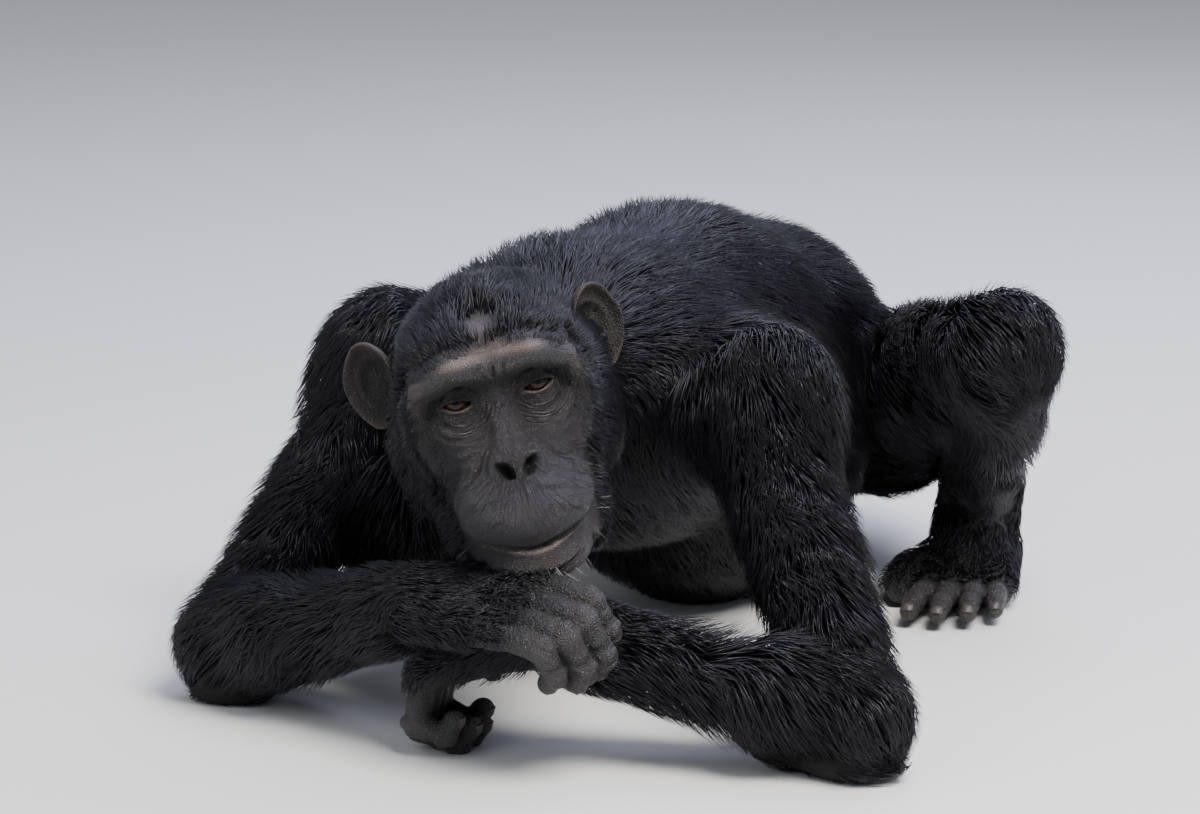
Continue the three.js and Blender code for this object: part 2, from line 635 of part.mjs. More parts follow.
const keep = (name, made, colour, roughness = 0.7) => {
  nodes.push({ name, whole: largest(withoutSlivers(largest(made))), colour, roughness });
};
const swollen = (mesh, field) => solid(swell(mesh, field, GAP));

// Trunk
const TRUNK_CELL = 46;
const trunkGrid = [steps(-270, 270, TRUNK_CELL), steps(-130, 600, TRUNK_CELL), steps(-50, 400, TRUNK_CELL)];
const trunkMesh = surface(cored(body), ...trunkGrid);
const trunkPlanes = [ARMPIT, GROIN].flatMap((plane) => [turned(plane), turned(mirrored(plane))]).concat([turned(NECK_BACK)]);
// Along the spine the hair lies straight back, and down the flanks it falls
const trunkWay = (p) => {
  const side = clamp(Math.abs(p[0]) / 140, 0, 1);
  return [0.3 * side * Math.sign(p[0]), 1 - 0.25 * side, -1.15 * side];
};
const trunkWhole = furred(
  cut(solid(trunkMesh), ...trunkPlanes), trunkMesh, body, beforePlanes(trunkPlanes, 4), trunkWay, TRUNK_LOCKS, 12);
const core = cut(floorCut(trunkWhole), ...trunkPlanes);
keep("chest", cut(core, turned(LOIN)), COAT);
keep("belly", cut(core, LOIN, turned(WAIST)), COAT);
keep("hips", cut(core, WAIST), COAT);

// Neck
const NECK_CELL = 31;
const neckGrid = [steps(-170, 200, NECK_CELL), steps(-210, 30, NECK_CELL), steps(90, 390, NECK_CELL)];
const neckMesh = surface(cored(headAndNeck), ...neckGrid);
const neckPlanes = [turned(NECK_FRONT), NECK_BACK, turned(NAPE), turned(mirrored(NAPE))];
const neckWay = () => add(mul(headFront, -1), [0, 0, -0.3]);
const neckWhole = furred(
  cut(solid(neckMesh), ...neckPlanes), neckMesh, headAndNeck, beforePlanes(neckPlanes, 3), neckWay, NECK_LOCKS, 23);
keep("neck", cut(neckWhole, ...neckPlanes), COAT);

// Head, on a grid along its own axes that is finest over the face
const headGrid = [
  steps(-118, 118, 12.4),
  [...steps(-130, 24, 19.5), ...steps(34, 155, 10.5)],
  [...steps(-155, 60, 12), 77, 95, 113, 131],
];
const headMesh = surface(cored(headAndNeck), ...headGrid, fromHead);
const inHead = (geometry, at) => fromGeometry(geometry, fromHead(at), headLeft, headFront, headUp);
// The opening between the lids, drawn out along the way the face looks
const lidOpening = (side) => {
  const shape = new THREE.Shape();
  shape.moveTo(-11.5, -1);
  shape.quadraticCurveTo(-1, 9, 11.5, -1.2);
  shape.quadraticCurveTo(0, -8.4, -11.5, -1);
  const made = new THREE.ExtrudeGeometry(shape, { depth: 26, bevelEnabled: false, curveSegments: 5 });
  made.rotateX(Math.PI / 2);
  made.translate(0, 26, 0);
  return inHead(made, [side * EYE[0], EYE[1], EYE[2]]);
};
const nostril = (side) => {
  const made = new THREE.SphereGeometry(1, 10, 8);
  made.scale(6, 9, 4.2);
  made.rotateY(side * 0.5);
  return inHead(made, [side * 9, 113, -25]);
};
// The line of the mouth: a thin curved blade that follows the lips round the muzzle
const MOUTH_HEIGHT = -86;
const mouthLine = () => {
  const at = (t, r) => [r * 53 * Math.sin(t), 82 + r * 60 * Math.cos(t), MOUTH_HEIGHT + 13 * Math.sin(t) ** 2];
  const count = 14;
  const vertices = [];
  for (let n = 0; n <= count; n++) {
    const t = rad(-72 + (144 * n) / count);
    const section = [[0.8, 1.1], [1.15, 1.1], [1.15, -1.1], [0.8, -1.1]];
    section.forEach(([r, lift]) => vertices.push(fromHead(add(at(t, r), [0, 0, lift]))));
  }
  const triangles = [0, 2, 1, 0, 3, 2];
  for (let n = 0; n < count; n++)
    for (let m = 0; m < 4; m++) {
      const [a, b] = [4 * n + m, 4 * n + ((m + 1) % 4)];
      triangles.push(a, b, b + 4, a, b + 4, a + 4);
    }
  const end = 4 * count;
  triangles.push(end, end + 1, end + 2, end, end + 2, end + 3);
  return solid({ vertices, triangles });
};
const eyeBall = (side, r) =>
  inHead(new THREE.SphereGeometry(r, 12, 8), [side * EYE[0], EYE[1], EYE[2]]);
const carveFace = (whole) =>
  [LEFT, RIGHT]
    .flatMap((side) => [eyeBall(side, EYE_R + GAP), lidOpening(side), nostril(side)])
    .concat(mouthLine())
    .reduce((a, b) => a.subtract(b), whole);
// The hair of the crown lies back, and on the cheeks it falls back and down, off the ears
const headWay = (p) => {
  const q = toHead(p);
  const low = clamp((40 - q[2]) / 60, 0, 1);
  const aside = 0.35 * low * Math.sign(q[0]);
  return add(add(mul(headFront, -1 + 0.35 * low), mul(headUp, -1.1 * low)), mul(headLeft, aside));
};
const haired = (p) => {
  const q = toHead(p);
  const byEar = Math.hypot(q[1] - EAR_ROOT[1] - 6, q[2] - EAR_ROOT[2]) < 34 && Math.abs(q[0]) > 50;
  return q[1] > -42 && q[1] < 62 && q[2] > -120 && bareFace(q) < 0.3 && !byEar;
};
const headSwollen = swollen(headMesh, cored(headAndNeck));
const earGap = (side) => solid(earMesh(side, GAP));
const headCore = carveFace(cut(solid(headMesh), NECK_FRONT));
const headWhole = furred(headCore, headMesh, headAndNeck, haired, headWay, HEAD_LOCKS, 37);
keep("head", cut(headWhole, NECK_FRONT).subtract(join([earGap(LEFT), earGap(RIGHT)])), SKIN);
// A coarser head, a little larger, that keeps the arms and hands off it
const OFF_HEAD = 3;
const headKeepsOff = solid(
  surface((p) => headAndNeck(p) - OFF_HEAD, steps(-118, 118, 18), steps(-130, 160, 18), steps(-160, 125, 18), fromHead),
);
[["left", LEFT], ["right", RIGHT]].forEach(([name, side]) => {
  keep("ear_" + name, solid(earMesh(side)).subtract(headSwollen), EAR_SKIN);
  keep("eye_" + name, eyeBall(side, EYE_R), IRIS, 0.15);
});

// Arms, from the shoulder to the finger tips. The right hand lies on the left one, and the chin on the right.
const ARM_CELL = 33;
const armMesh = (side, field) => {
  const xs = side > 0 ? steps(40, 390, ARM_CELL) : steps(-360, -20, ARM_CELL);
  return surface(field, xs, steps(-330, 160, ARM_CELL), steps(-40, 340, ARM_CELL));
};
const armSides = {
  left: { side: LEFT, elbow: ELBOW_L, wrist: WRIST_L, armpit: ARMPIT, nape: NAPE, shoulder: SHOULDER },
  right: {
    side: RIGHT, elbow: ELBOW_R, wrist: WRIST_R, armpit: mirrored(ARMPIT), nape: mirrored(NAPE), shoulder: flip(SHOULDER),
  },
};
Object.values(armSides).forEach((a) => {
  a.elbowPlane = [a.elbow, halfway(a.elbow, a.shoulder, a.wrist)];
  a.wristPlane = [mix(a.elbow, a.wrist, 0.93), along(a.elbow, a.wrist)];
  a.field = (p) => arm(p, a.side);
  a.mesh = armMesh(a.side, cored(a.field));
  a.coreSolid = solid(a.mesh);
  a.outside = solid(armMesh(a.side, (p) => a.field(p) - 1));
});
const { left, right } = armSides;
left.hand = hand(WRIST_L, [8, -246, 64], [-0.3, -0.1, 1], -1, [58, 78, 70]);
right.hand = hand(WRIST_R, [94, -284, 126], [0.05, -0.5, 0.9], 1, [24, 62, 46]);
left.handKeepsOff = cut(right.outside, right.elbowPlane);
right.handKeepsOff = cut(left.outside, left.elbowPlane);
Object.entries(armSides).forEach(([name, a], n) => {
  const upperPlanes = [a.armpit, a.nape, turned(a.elbowPlane)];
  const lowerPlanes = [a.armpit, a.elbowPlane, turned(a.wristPlane)];
  // Hair lies from the shoulder down to the elbow, and from the wrist back up to it
  const upperWay = () => add(along(a.shoulder, a.elbow), [0, 0.1, -0.15]);
  const lowerWay = () => add(along(a.wrist, a.elbow), [0, 0, -0.45]);
  const furOn = (planes, way, kind, seed) =>
    cut(floorCut(furred(cut(a.coreSolid, ...planes), a.mesh, a.field, beforePlanes(planes, 3), way, kind, seed)), ...planes);
  keep("upper_arm_" + name, furOn(upperPlanes, upperWay, UPPER_ARM_LOCKS, 41 + n).subtract(headKeepsOff), COAT);
  keep("forearm_" + name, furOn(lowerPlanes, lowerWay, FOREARM_LOCKS, 53 + n).subtract(headKeepsOff), COAT);
  const made = cut(floorCut(a.hand), a.wristPlane).subtract(headKeepsOff).subtract(a.handKeepsOff);
  keep("hand_" + name, made, SKIN);
});

// Legs
const LEG_CELL = 40;
Object.entries(legSides).forEach(([name, joints], n) => {
  const { side, hip, knee, ankle, groin } = joints;
  const field = (p) => leg(p, joints);
  const xs = side > 0 ? steps(60, 350, LEG_CELL) : steps(-350, -60, LEG_CELL);
  const mesh = surface(cored(field), xs, steps(150, 610, LEG_CELL), steps(-40, 330, LEG_CELL));
  const whole = solid(mesh);
  const kneePlane = [knee, halfway(knee, hip, ankle)];
  const anklePlane = [add(ankle, [0, 6, 16]), unit([0.1 * side, -0.35, -1])];
  const thighWay = () => add(along(hip, knee), [0, 0, -0.5]);
  const shinWay = () => add(along(knee, ankle), [0, 0.2, 0]);
  const furOn = (planes, way, kind, seed) =>
    cut(floorCut(furred(cut(whole, ...planes), mesh, field, beforePlanes(planes, 3), way, kind, seed)), ...planes);
  keep("thigh_" + name, furOn([groin, turned(kneePlane)], thighWay, THIGH_LOCKS, 61 + n), COAT);
  keep("shin_" + name, furOn([groin, kneePlane, turned(anklePlane)], shinWay, SHIN_LOCKS, 71 + n), COAT);
  keep("foot_" + name, cut(floorCut(foot(joints)), anklePlane), SKIN);
});

// Each part as a named mesh, in a group whose zero is the middle of the whole on the floor
const model = new THREE.Group();
nodes.forEach(({ name, whole, colour, roughness }) => {
  const { numProp, vertProperties, triVerts } = whole.getMesh();
  const place = new Float32Array((vertProperties.length / numProp) * 3);
  for (let n = 0; n < place.length / 3; n++) place.set(vertProperties.subarray(n * numProp, n * numProp + 3), n * 3);
  const geometry = new THREE.BufferGeometry();
  geometry.setAttribute("position", new THREE.BufferAttribute(place, 3));
  geometry.setIndex(new THREE.BufferAttribute(triVerts, 1));
  geometry.computeVertexNormals();
  const mesh = new THREE.Mesh(geometry, new THREE.MeshStandardMaterial({ color: colour, roughness, metalness: 0 }));
  mesh.name = name;
  model.add(mesh);
});
const middle = new THREE.Box3().setFromObject(model).getCenter(new THREE.Vector3());
model.position.set(-middle.x, -middle.y, 0);
export default model;
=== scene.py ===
# %% [markdown]
# A chimpanzee at rest, life size. It lies on its belly with its chin on the back of its right hand. The
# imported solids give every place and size. This file dresses them: one smooth skin for the flesh, a face
# with lids, folds and lips, wet eyes, creased hands with nails, and a coat of about 140,000 tufts of hair.

# %% Load the frame and note its size
import bpy
import numpy as np
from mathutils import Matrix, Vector


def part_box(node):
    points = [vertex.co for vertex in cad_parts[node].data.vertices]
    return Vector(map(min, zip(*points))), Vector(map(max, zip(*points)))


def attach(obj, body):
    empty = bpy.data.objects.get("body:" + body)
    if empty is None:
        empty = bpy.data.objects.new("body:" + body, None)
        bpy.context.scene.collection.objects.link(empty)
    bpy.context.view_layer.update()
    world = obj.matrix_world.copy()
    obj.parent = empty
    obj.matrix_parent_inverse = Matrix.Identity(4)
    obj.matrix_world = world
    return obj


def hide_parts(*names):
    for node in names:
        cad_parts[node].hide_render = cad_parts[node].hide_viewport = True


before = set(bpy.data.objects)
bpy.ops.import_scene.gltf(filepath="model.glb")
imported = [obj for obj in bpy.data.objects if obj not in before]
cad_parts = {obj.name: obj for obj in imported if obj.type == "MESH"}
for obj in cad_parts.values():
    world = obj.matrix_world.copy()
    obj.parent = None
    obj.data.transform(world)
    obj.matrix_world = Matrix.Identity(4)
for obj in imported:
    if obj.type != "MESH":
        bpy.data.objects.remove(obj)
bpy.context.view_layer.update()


# %% [markdown]
# Everything is worked out in one pose frame, in millimetres: the floor at z = 0, the spine along y with the
# head towards -y, and x to the animal's left. The joints are the same named places as in the solids. Where
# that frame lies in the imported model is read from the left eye, whose centre both know.

# %% Joints of the pose
SHOULDER = (154, 8, 226)
ELBOW_L = (316, -178, 46)
WRIST_L = (92, -232, 94)
ELBOW_R = (-198, -194, 46)
WRIST_R = (2, -256, 110)
HIP = (85, 450, 135)
KNEE_L = (262, 275, 230)
ANKLE_L = (202, 402, 57)
KNEE_R = (-250, 262, 178)
ANKLE_R = (-196, 430, 57)
HEAD = (21, -170, 253)
HEAD_TURN, HEAD_NOD, HEAD_LEAN = 31, 1, 14
EYE = (30.5, 71, 21)
EYE_R = 12.0
SIDES = ("left", "right")
CAMERA_AZIMUTH, CAMERA_ELEVATION = 25, 12


def vec(*values):
    return np.array(values, dtype=np.float64)


def unit(v):
    """Each row, or the one vector, over its own length."""
    v = np.asarray(v, dtype=np.float64)
    return v / np.maximum(np.linalg.norm(v, axis=-1, keepdims=True), 1e-9)


def mirror(v):
    """The same place on the other side of the body."""
    return (-v[0], v[1], v[2])


def between(a, b, t):
    """The place a share t of the way from a to b."""
    return tuple((1 - t) * np.asarray(a) + t * np.asarray(b))


def xyz(points):
    """Points as three arrays of single precision."""
    return tuple(np.asarray(points, dtype=np.float32).T)


def way_from(azimuth, elevation):
    """The way towards a camera or lamp, from its azimuth off the front and its elevation, in degrees."""
    a, e = np.radians([azimuth, elevation])
    return vec(np.sin(a) * np.cos(e), -np.cos(a) * np.cos(e), np.sin(e))


def both(*parts):
    """The names of the parts on either side of the body."""
    return [part + "_" + side for part in parts for side in SIDES]


# %% [markdown]
# The head has its own axes, left, front and up. They come from a turn about the vertical, a nod and a lean.

# %% The head's axes and the way into the model
turn, nod, lean = np.radians([HEAD_TURN, HEAD_NOD, HEAD_LEAN])
front_flat = vec(np.sin(turn), -np.cos(turn), 0)
left_flat = vec(np.cos(turn), np.sin(turn), 0)
HEAD_FRONT = front_flat * np.cos(nod) - vec(0, 0, np.sin(nod))
crown_way = vec(0, 0, np.cos(nod)) + front_flat * np.sin(nod)
HEAD_LEFT = left_flat * np.cos(lean) + crown_way * np.sin(lean)
HEAD_UP = crown_way * np.cos(lean) - left_flat * np.sin(lean)
HEAD_AXES = (HEAD_LEFT, HEAD_FRONT, HEAD_UP)


def from_head(q):
    """Head coordinates to the pose frame: the head's place plus each axis times its coordinate."""
    q = np.asarray(q, dtype=np.float64)
    return vec(*HEAD) + q[..., 0:1] * HEAD_LEFT + q[..., 1:2] * HEAD_FRONT + q[..., 2:3] * HEAD_UP


def to_head(x, y, z):
    """The pose frame to head coordinates, as three arrays."""
    d = (x - HEAD[0], y - HEAD[1], z - HEAD[2])
    return tuple(d[0] * axis[0] + d[1] * axis[1] + d[2] * axis[2] for axis in HEAD_AXES)


eye_low, eye_high = (np.array(corner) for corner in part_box("eye_left"))
SHIFT = (eye_low + eye_high) / 2 - from_head(EYE) / 1000
print("the pose frame lies at", SHIFT.round(5))


def placed(points):
    """Pose millimetres to model metres."""
    return np.asarray(points, dtype=np.float64) / 1000 + SHIFT


# %% [markdown]
# A soft body is easiest to describe by distance: each bone, muscle or pad gives the distance to its own
# surface, and shapes are joined by taking the lower one with a fillet where they meet. The surface is where
# the joined distance is nought. All of it works on whole arrays at once.

# %% Distances
def rod(p, a, b, ra, rb):
    """Distance to a rod with round ends, its radius running from ra to rb: the distance to the nearest
    point of the segment, less the radius there."""
    ab = np.subtract(b, a).astype(np.float32)
    t = sum((p[i] - np.float32(a[i])) * (ab[i] / float(ab @ ab)) for i in range(3)).clip(0, 1)
    gap = sum((p[i] - np.float32(a[i]) - t * ab[i]) ** 2 for i in range(3))
    return np.sqrt(gap) - (np.float32(ra) + np.float32(rb - ra) * t)


def egg(p, centre, radii):
    """Nearly the distance to an ellipsoid: k (k - 1) over the length of the slope of k, a scaled radius."""
    q = [p[i] - np.float32(centre[i]) for i in range(3)]
    near = np.sqrt(sum((q[i] / np.float32(radii[i])) ** 2 for i in range(3)))
    slope = np.sqrt(sum((q[i] / np.float32(radii[i] ** 2)) ** 2 for i in range(3)))
    return near * (near - 1) / np.maximum(slope, 1e-4)


def melt(a, b, fillet):
    """The lower of two distances, less a quarter of the squared overlap of their fillet."""
    h = np.maximum(fillet - np.abs(a - b), 0) / fillet
    return np.minimum(a, b) - h * h * fillet / 4


def melt_all(fillet, first, *others):
    """The first distance melted with each of the others in turn."""
    for other in others:
        first = melt(first, other, fillet)
    return first


def ease(t):
    """0 below 0, 1 above 1, and a smooth S between."""
    t = np.clip(t, 0, 1)
    return t * t * (3 - 2 * t)


# %% [markdown]
# The trunk is a handful of ellipsoids: rib cage, shoulders, arched back, sagging belly, loins, rump and
# seat. The neck is short and thick and runs into the shoulders. Arms and legs are tapered rods, fuller
# where the muscle is.

# %% Trunk and limbs
def trunk(p):
    """Seven ellipsoids from the ribs to the seat, melted with fillets of 45 mm. The last is mirrored."""
    x, y, z = p
    m = (np.abs(x), y, z)
    return melt_all(
        45,
        egg(p, (0, 55, 215), (150, 148, 132)),
        egg(p, (0, 5, 245), (158, 82, 76)),
        egg(p, (0, 190, 205), (148, 160, 150)),
        egg(p, (0, 265, 118), (136, 172, 122)),
        egg(p, (0, 335, 188), (134, 150, 134)),
        egg(p, (0, 440, 150), (124, 118, 116)),
        egg(m, (58, 492, 112), (68, 72, 74)),
    )


def neck(p):
    """A rod from between the shoulders to the back of the skull."""
    return rod(p, (0, -25, 260), (16, -125, 264), 88, 72)


def torso(p):
    return melt(trunk(p), neck(p), 50)


def upper_arm(p, shoulder, elbow):
    """An ellipsoid at the shoulder, melted with a rod that tapers to the elbow."""
    return melt(egg(p, shoulder, (74, 72, 74)), rod(p, shoulder, elbow, 62, 47), 40)


def fore_arm(p, elbow, wrist):
    """Two rods: full up to the belly of the muscle, then tapering to the wrist."""
    belly = between(elbow, wrist, 0.3)
    return melt(rod(p, elbow, belly, 47, 49), rod(p, belly, wrist, 49, 29), 20)


def thigh(p, hip, knee):
    """A rod that tapers from hip to knee, with a ball at the knee."""
    return melt(rod(p, hip, knee, 92, 56), egg(p, knee, (54, 54, 54)), 20)


def shin(p, knee, ankle):
    """Two rods: full down to the calf, then tapering to the ankle."""
    calf = between(knee, ankle, 0.4)
    return melt(rod(p, knee, calf, 52, 50), rod(p, calf, ankle, 50, 31), 20)


ARMS = {"left": (SHOULDER, ELBOW_L, WRIST_L), "right": (mirror(SHOULDER), ELBOW_R, WRIST_R)}
LEGS = {"left": (HIP, KNEE_L, ANKLE_L), "right": (mirror(HIP), KNEE_R, ANKLE_R)}
ARMPIT = ((-109, -62, 106), (66, 60, 90))


def body(p):
    """Trunk, neck, arms and legs as one flesh, out to the tips of the coat, the right armpit filled."""
    whole = melt(torso(p), egg(p, *ARMPIT), 40)
    for shoulder, elbow, wrist in ARMS.values():
        whole = melt(melt(whole, upper_arm(p, shoulder, elbow), 42), fore_arm(p, elbow, wrist), 22)
    for hip, knee, ankle in LEGS.values():
        whole = melt(melt(whole, thigh(p, hip, knee), 24), shin(p, knee, ankle), 20)
    return whole


# %% [markdown]
# The head: a low vault, a heavy brow ridge, deep sockets, cheekbones, and a muzzle that stands well forward.

# %% The head
def head_shape(q):
    """Vault and face, each melted from ellipsoids and rods, are joined, and the brow ridge is laid on."""
    x, y, z = q
    m = (np.abs(x), y, z)
    vault = melt_all(
        24,
        egg(q, (0, -8, 34), (70, 84, 62)),
        egg(q, (0, 46, 34), (50, 36, 34)),
        rod(m, (50, 14, -34), (34, 60, -84), 30, 24),
        egg(m, (66, 2, -22), (26, 36, 56)),
        rod(q, (0, -10, -50), (0, 40, -84), 46, 34),
    )
    face = melt_all(
        12,
        egg(q, (0, 38, -2), (58, 38, 50)),
        rod(m, (60, 60, 13), (57, 52, -8), 9, 13),
        rod(m, (57, 52, -8), (46, 60, -26), 13, 15),
        egg(q, (0, 80, -54), (50, 56, 40)),
        egg(q, (0, 94, -60), (47, 45, 30)),
        egg(q, (0, 74, -94), (44, 50, 26)),
        egg(q, (0, 98, -100), (34, 32, 19)),
        rod(q, (0, 70, 22), (0, 98, -14), 11, 12),
        egg(q, (0, 106, -20), (20, 12, 10)),
    )
    ridge = (rod(m, (0, 87, 43), (29, 91, 49), 9.5, 11), rod(m, (29, 91, 49), (54, 78, 37), 11, 9.5),
             rod(m, (54, 78, 37), (62, 62, 13), 9.5, 8.5))
    brow = np.minimum.reduce(ridge)
    return melt(melt(vault, face, 16), brow, 10)


def head(p):
    return head_shape(to_head(*p))


# %% [markdown]
# The coat is full on the body, shorter on the head and towards wrists and ankles, pressed flat where the
# animal lies on the floor, and missing on the bare face. The skin lies under the outline by that depth.

# %% How deep the coat is
COAT_DEPTH = 26
HEAD_COAT_DEPTH = 15


def bare_face(q):
    """1 on the bare skin of the face and 0 in the hair, from how far a point is past the face's edges."""
    half_width = np.where(q[2] > 0, 66, 66 + q[2] * 0.16)
    past = np.maximum(np.maximum((np.abs(q[0]) - half_width) / 10, (q[2] - 58) / 14),
                      np.maximum((34 - q[1]) / 18, (-112 - q[2]) / 10))
    off_face = (np.sqrt(q[0] ** 2 + (q[1] - 60) ** 2 + (q[2] + 25) ** 2) - 105) / 30
    return (1 - ease(past)) * (1 - ease(off_face))


def coat(p):
    """The coat's depth in millimetres."""
    joints = (WRIST_L, WRIST_R, ANKLE_L, ANKLE_R)
    ends = np.minimum.reduce([np.sqrt(sum((p[i] - j[i]) ** 2 for i in range(3))) for j in joints])
    q = to_head(*p)
    on_head = 1 - ease((np.sqrt(q[0] ** 2 + q[1] ** 2 + q[2] ** 2) - 105) / 60)
    depth = COAT_DEPTH + (HEAD_COAT_DEPTH - COAT_DEPTH) * on_head
    return depth * ease((ends - 25) / 85) * ease((p[2] - 3) / 34) * (1 - bare_face(q))


def hairless(q):
    """1 where the face is bare to the eye: below the hairline, in an oval bald spot above it, inside the
    cheek hair, and all over the front of the muzzle."""
    x, y, z = np.abs(q[0]), q[1], q[2]
    top = 54 - 12 * ease((x - 28) / 26)
    bald = 1.6 * (np.hypot(x / 17, (z - 77) / 13) - 0.95)
    half_width = np.where(z > 0, 62 - 0.10 * z, 62 + 0.24 * z)
    beside_face = np.minimum((x - half_width) / 9, (86 - y) / 9)
    over_face = np.minimum((z - top) / 10, bald)
    past = np.maximum(np.maximum(beside_face, over_face), np.maximum((40 - y) / 16, (-114 - z) / 10))
    off_face = (np.sqrt(x ** 2 + (y - 60) ** 2 + (z + 25) ** 2) - 105) / 30
    return (1 - ease(past)) * (1 - ease(off_face))


# %% [markdown]
# A surface net turns a distance into a mesh. Every cell of a grid that the surface crosses gets one vertex,
# at the mean of its crossings, and every grid edge that the surface crosses gets one four-sided face from
# the cells round it. The vertices are then drawn onto the surface along the slope.

# %% Surface nets
CORNERS = [(i, j, k) for i in (0, 1) for j in (0, 1) for k in (0, 1)]
SLOPE_STEP = 0.6


def slope_at(field, points):
    """The field's slope at each point, from the differences over a small step each way."""
    p = np.asarray(points, dtype=np.float32)
    columns = []
    for axis in range(3):
        step = np.zeros(3, dtype=np.float32)
        step[axis] = SLOPE_STEP
        columns.append((field(tuple((p + step).T)) - field(tuple((p - step).T))) / (2 * SLOPE_STEP))
    return np.stack(columns, 1).astype(np.float64)


def drawn_on(field, points, times=2):
    """Points moved along the slope till the field is nought: p less slope times field over squared slope."""
    for _ in range(times):
        slope = slope_at(field, points)
        points = points - slope * (field(xyz(points)) / np.maximum((slope ** 2).sum(1), 0.2))[:, None]
    return points


def even(low, high, cell):
    """Even steps from low to high, none wider than the cell."""
    return np.linspace(low, high, int(np.ceil((high - low) / cell)) + 1)


def net(field, axes):
    """Vertices and four-sided faces of the field's surface on a grid of the three axes given."""
    shapes = ((-1, 1, 1), (1, -1, 1), (1, 1, -1))
    grid = tuple(a.astype(np.float32).reshape(shape) for a, shape in zip(axes, shapes))
    value = field(grid).astype(np.float32)
    value = np.ascontiguousarray(np.broadcast_to(value, [len(a) for a in axes])).copy()
    for n in range(3):
        edge = np.moveaxis(value, n, 0)
        edge[0] = np.maximum(edge[0], 1)
        edge[-1] = np.maximum(edge[-1], 1)
    inside = value < 0
    cells = [len(a) - 1 for a in axes]
    count = sum(inside[i:i + cells[0], j:j + cells[1], k:k + cells[2]].astype(np.int8)
                for i, j, k in CORNERS)
    at = np.stack(np.nonzero((count > 0) & (count < 8)), 1)
    number = np.full(cells, -1, dtype=np.int32)
    number[tuple(at.T)] = np.arange(len(at))
    corner_value = {c: value[tuple((at + c).T)] for c in CORNERS}
    total, times = np.zeros((len(at), 3)), np.zeros(len(at))
    for c in CORNERS:
        for n in range(3):
            if c[n]:
                continue
            d = tuple(1 if i == n else c[i] for i in range(3))
            a, b = corner_value[c], corner_value[d]
            crossed = (a < 0) != (b < 0)
            t = np.where(crossed, a / np.where(a == b, 1, a - b), 0)
            ends = [np.stack([axes[i][at[:, i] + s[i]] for i in range(3)], 1) for s in (c, d)]
            total += np.where(crossed[:, None], ends[0] + (ends[1] - ends[0]) * t[:, None], 0)
            times += crossed
    vertices = total / times[:, None]
    faces = []
    for n in range(3):
        u, v = (n + 1) % 3, (n + 2) % 3
        here = np.moveaxis(inside, n, 0)
        changed = np.moveaxis(here[:-1] != here[1:], 0, n)
        index = np.stack(np.nonzero(changed), 1)
        index = index[(index[:, u] > 0) & (index[:, v] > 0)]
        index = index[(index[:, u] < cells[u]) & (index[:, v] < cells[v])]
        starts = inside[tuple(index.T)]
        round_edge = []
        for du, dv in ((0, 0), (-1, 0), (-1, -1), (0, -1)):
            cell = index.copy()
            cell[:, u] += du
            cell[:, v] += dv
            round_edge.append(number[tuple(cell.T)])
        quads = np.stack(round_edge, 1)
        faces.append(np.where(starts[:, None], quads, quads[:, ::-1]))
    return vertices, np.concatenate(faces)


# %% [markdown]
# Each piece is one mesh: points in pose millimetres, groups of faces with three or four corners, and
# whatever numbers its material reads. The coat's texture map goes in as a second layer of corners.

# %% Pieces
def piece(name, points, faces, look, stands_for=(), numbers=None, paint=None, uv=None):
    """A mesh of the arrays given: it rides on the body, stands for solids, and has a material."""
    groups = [np.asarray(group, dtype=np.int32) for group in faces if len(group)]
    corners = np.concatenate([group.ravel() for group in groups])
    sizes = np.concatenate([np.full(len(group), group.shape[1]) for group in groups])
    mesh = bpy.data.meshes.new(name)
    mesh.vertices.add(len(points))
    mesh.loops.add(len(corners))
    mesh.polygons.add(len(sizes))
    mesh.vertices.foreach_set("co", placed(points).ravel().astype(np.float32))
    mesh.loops.foreach_set("vertex_index", corners)
    mesh.polygons.foreach_set("loop_start", np.concatenate([[0], np.cumsum(sizes)[:-1]]).astype(np.int32))
    mesh.polygons.foreach_set("use_smooth", np.full(len(sizes), True))
    for key, values in (numbers or {}).items():
        layer = mesh.attributes.new(key, "FLOAT", "POINT")
        layer.data.foreach_set("value", np.asarray(values, dtype=np.float32).ravel())
    if paint is not None:
        layer = mesh.attributes.new("paint", "FLOAT_COLOR", "POINT")
        layer.data.foreach_set("color", np.c_[paint, np.ones(len(paint))].astype(np.float32).ravel())
    if uv is not None:
        layer = mesh.uv_layers.new(name="OFBake")
        layer.data.foreach_set("uv", np.asarray(uv, dtype=np.float32)[corners].ravel())
    mesh.update(calc_edges=True)
    mesh.validate()
    mesh.materials.append(look)
    made = bpy.data.objects.new(name, mesh)
    bpy.context.scene.collection.objects.link(made)
    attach(made, "root")
    if stands_for:
        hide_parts(*stands_for)
    return made


def triangles(faces):
    """Every four-sided face as two triangles, with the triangles that were there already."""
    split = [face if face.shape[1] == 3 else np.concatenate([face[:, :3], face[:, [0, 2, 3]]])
             for face in faces]
    return np.concatenate(split)


def outward(points, faces):
    """The faces turned so that the volume they close is above nought."""
    a, b, c = (points[triangles(faces)[:, i]] for i in range(3))
    volume = np.einsum("ij,ij->", a, np.cross(b, c))
    return faces if volume > 0 else [face[:, ::-1] for face in faces]


def normals_of(points, faces):
    """Unit normals at the points: the sum of the cross products of the triangles round each."""
    tri = triangles(faces)
    a, b, c = (points[tri[:, i]] for i in range(3))
    across = np.cross(b - a, c - a)
    total = np.zeros_like(points)
    for i in range(3):
        for axis in range(3):
            total[:, axis] += np.bincount(tri[:, i], across[:, axis], len(points))
    return unit(total)


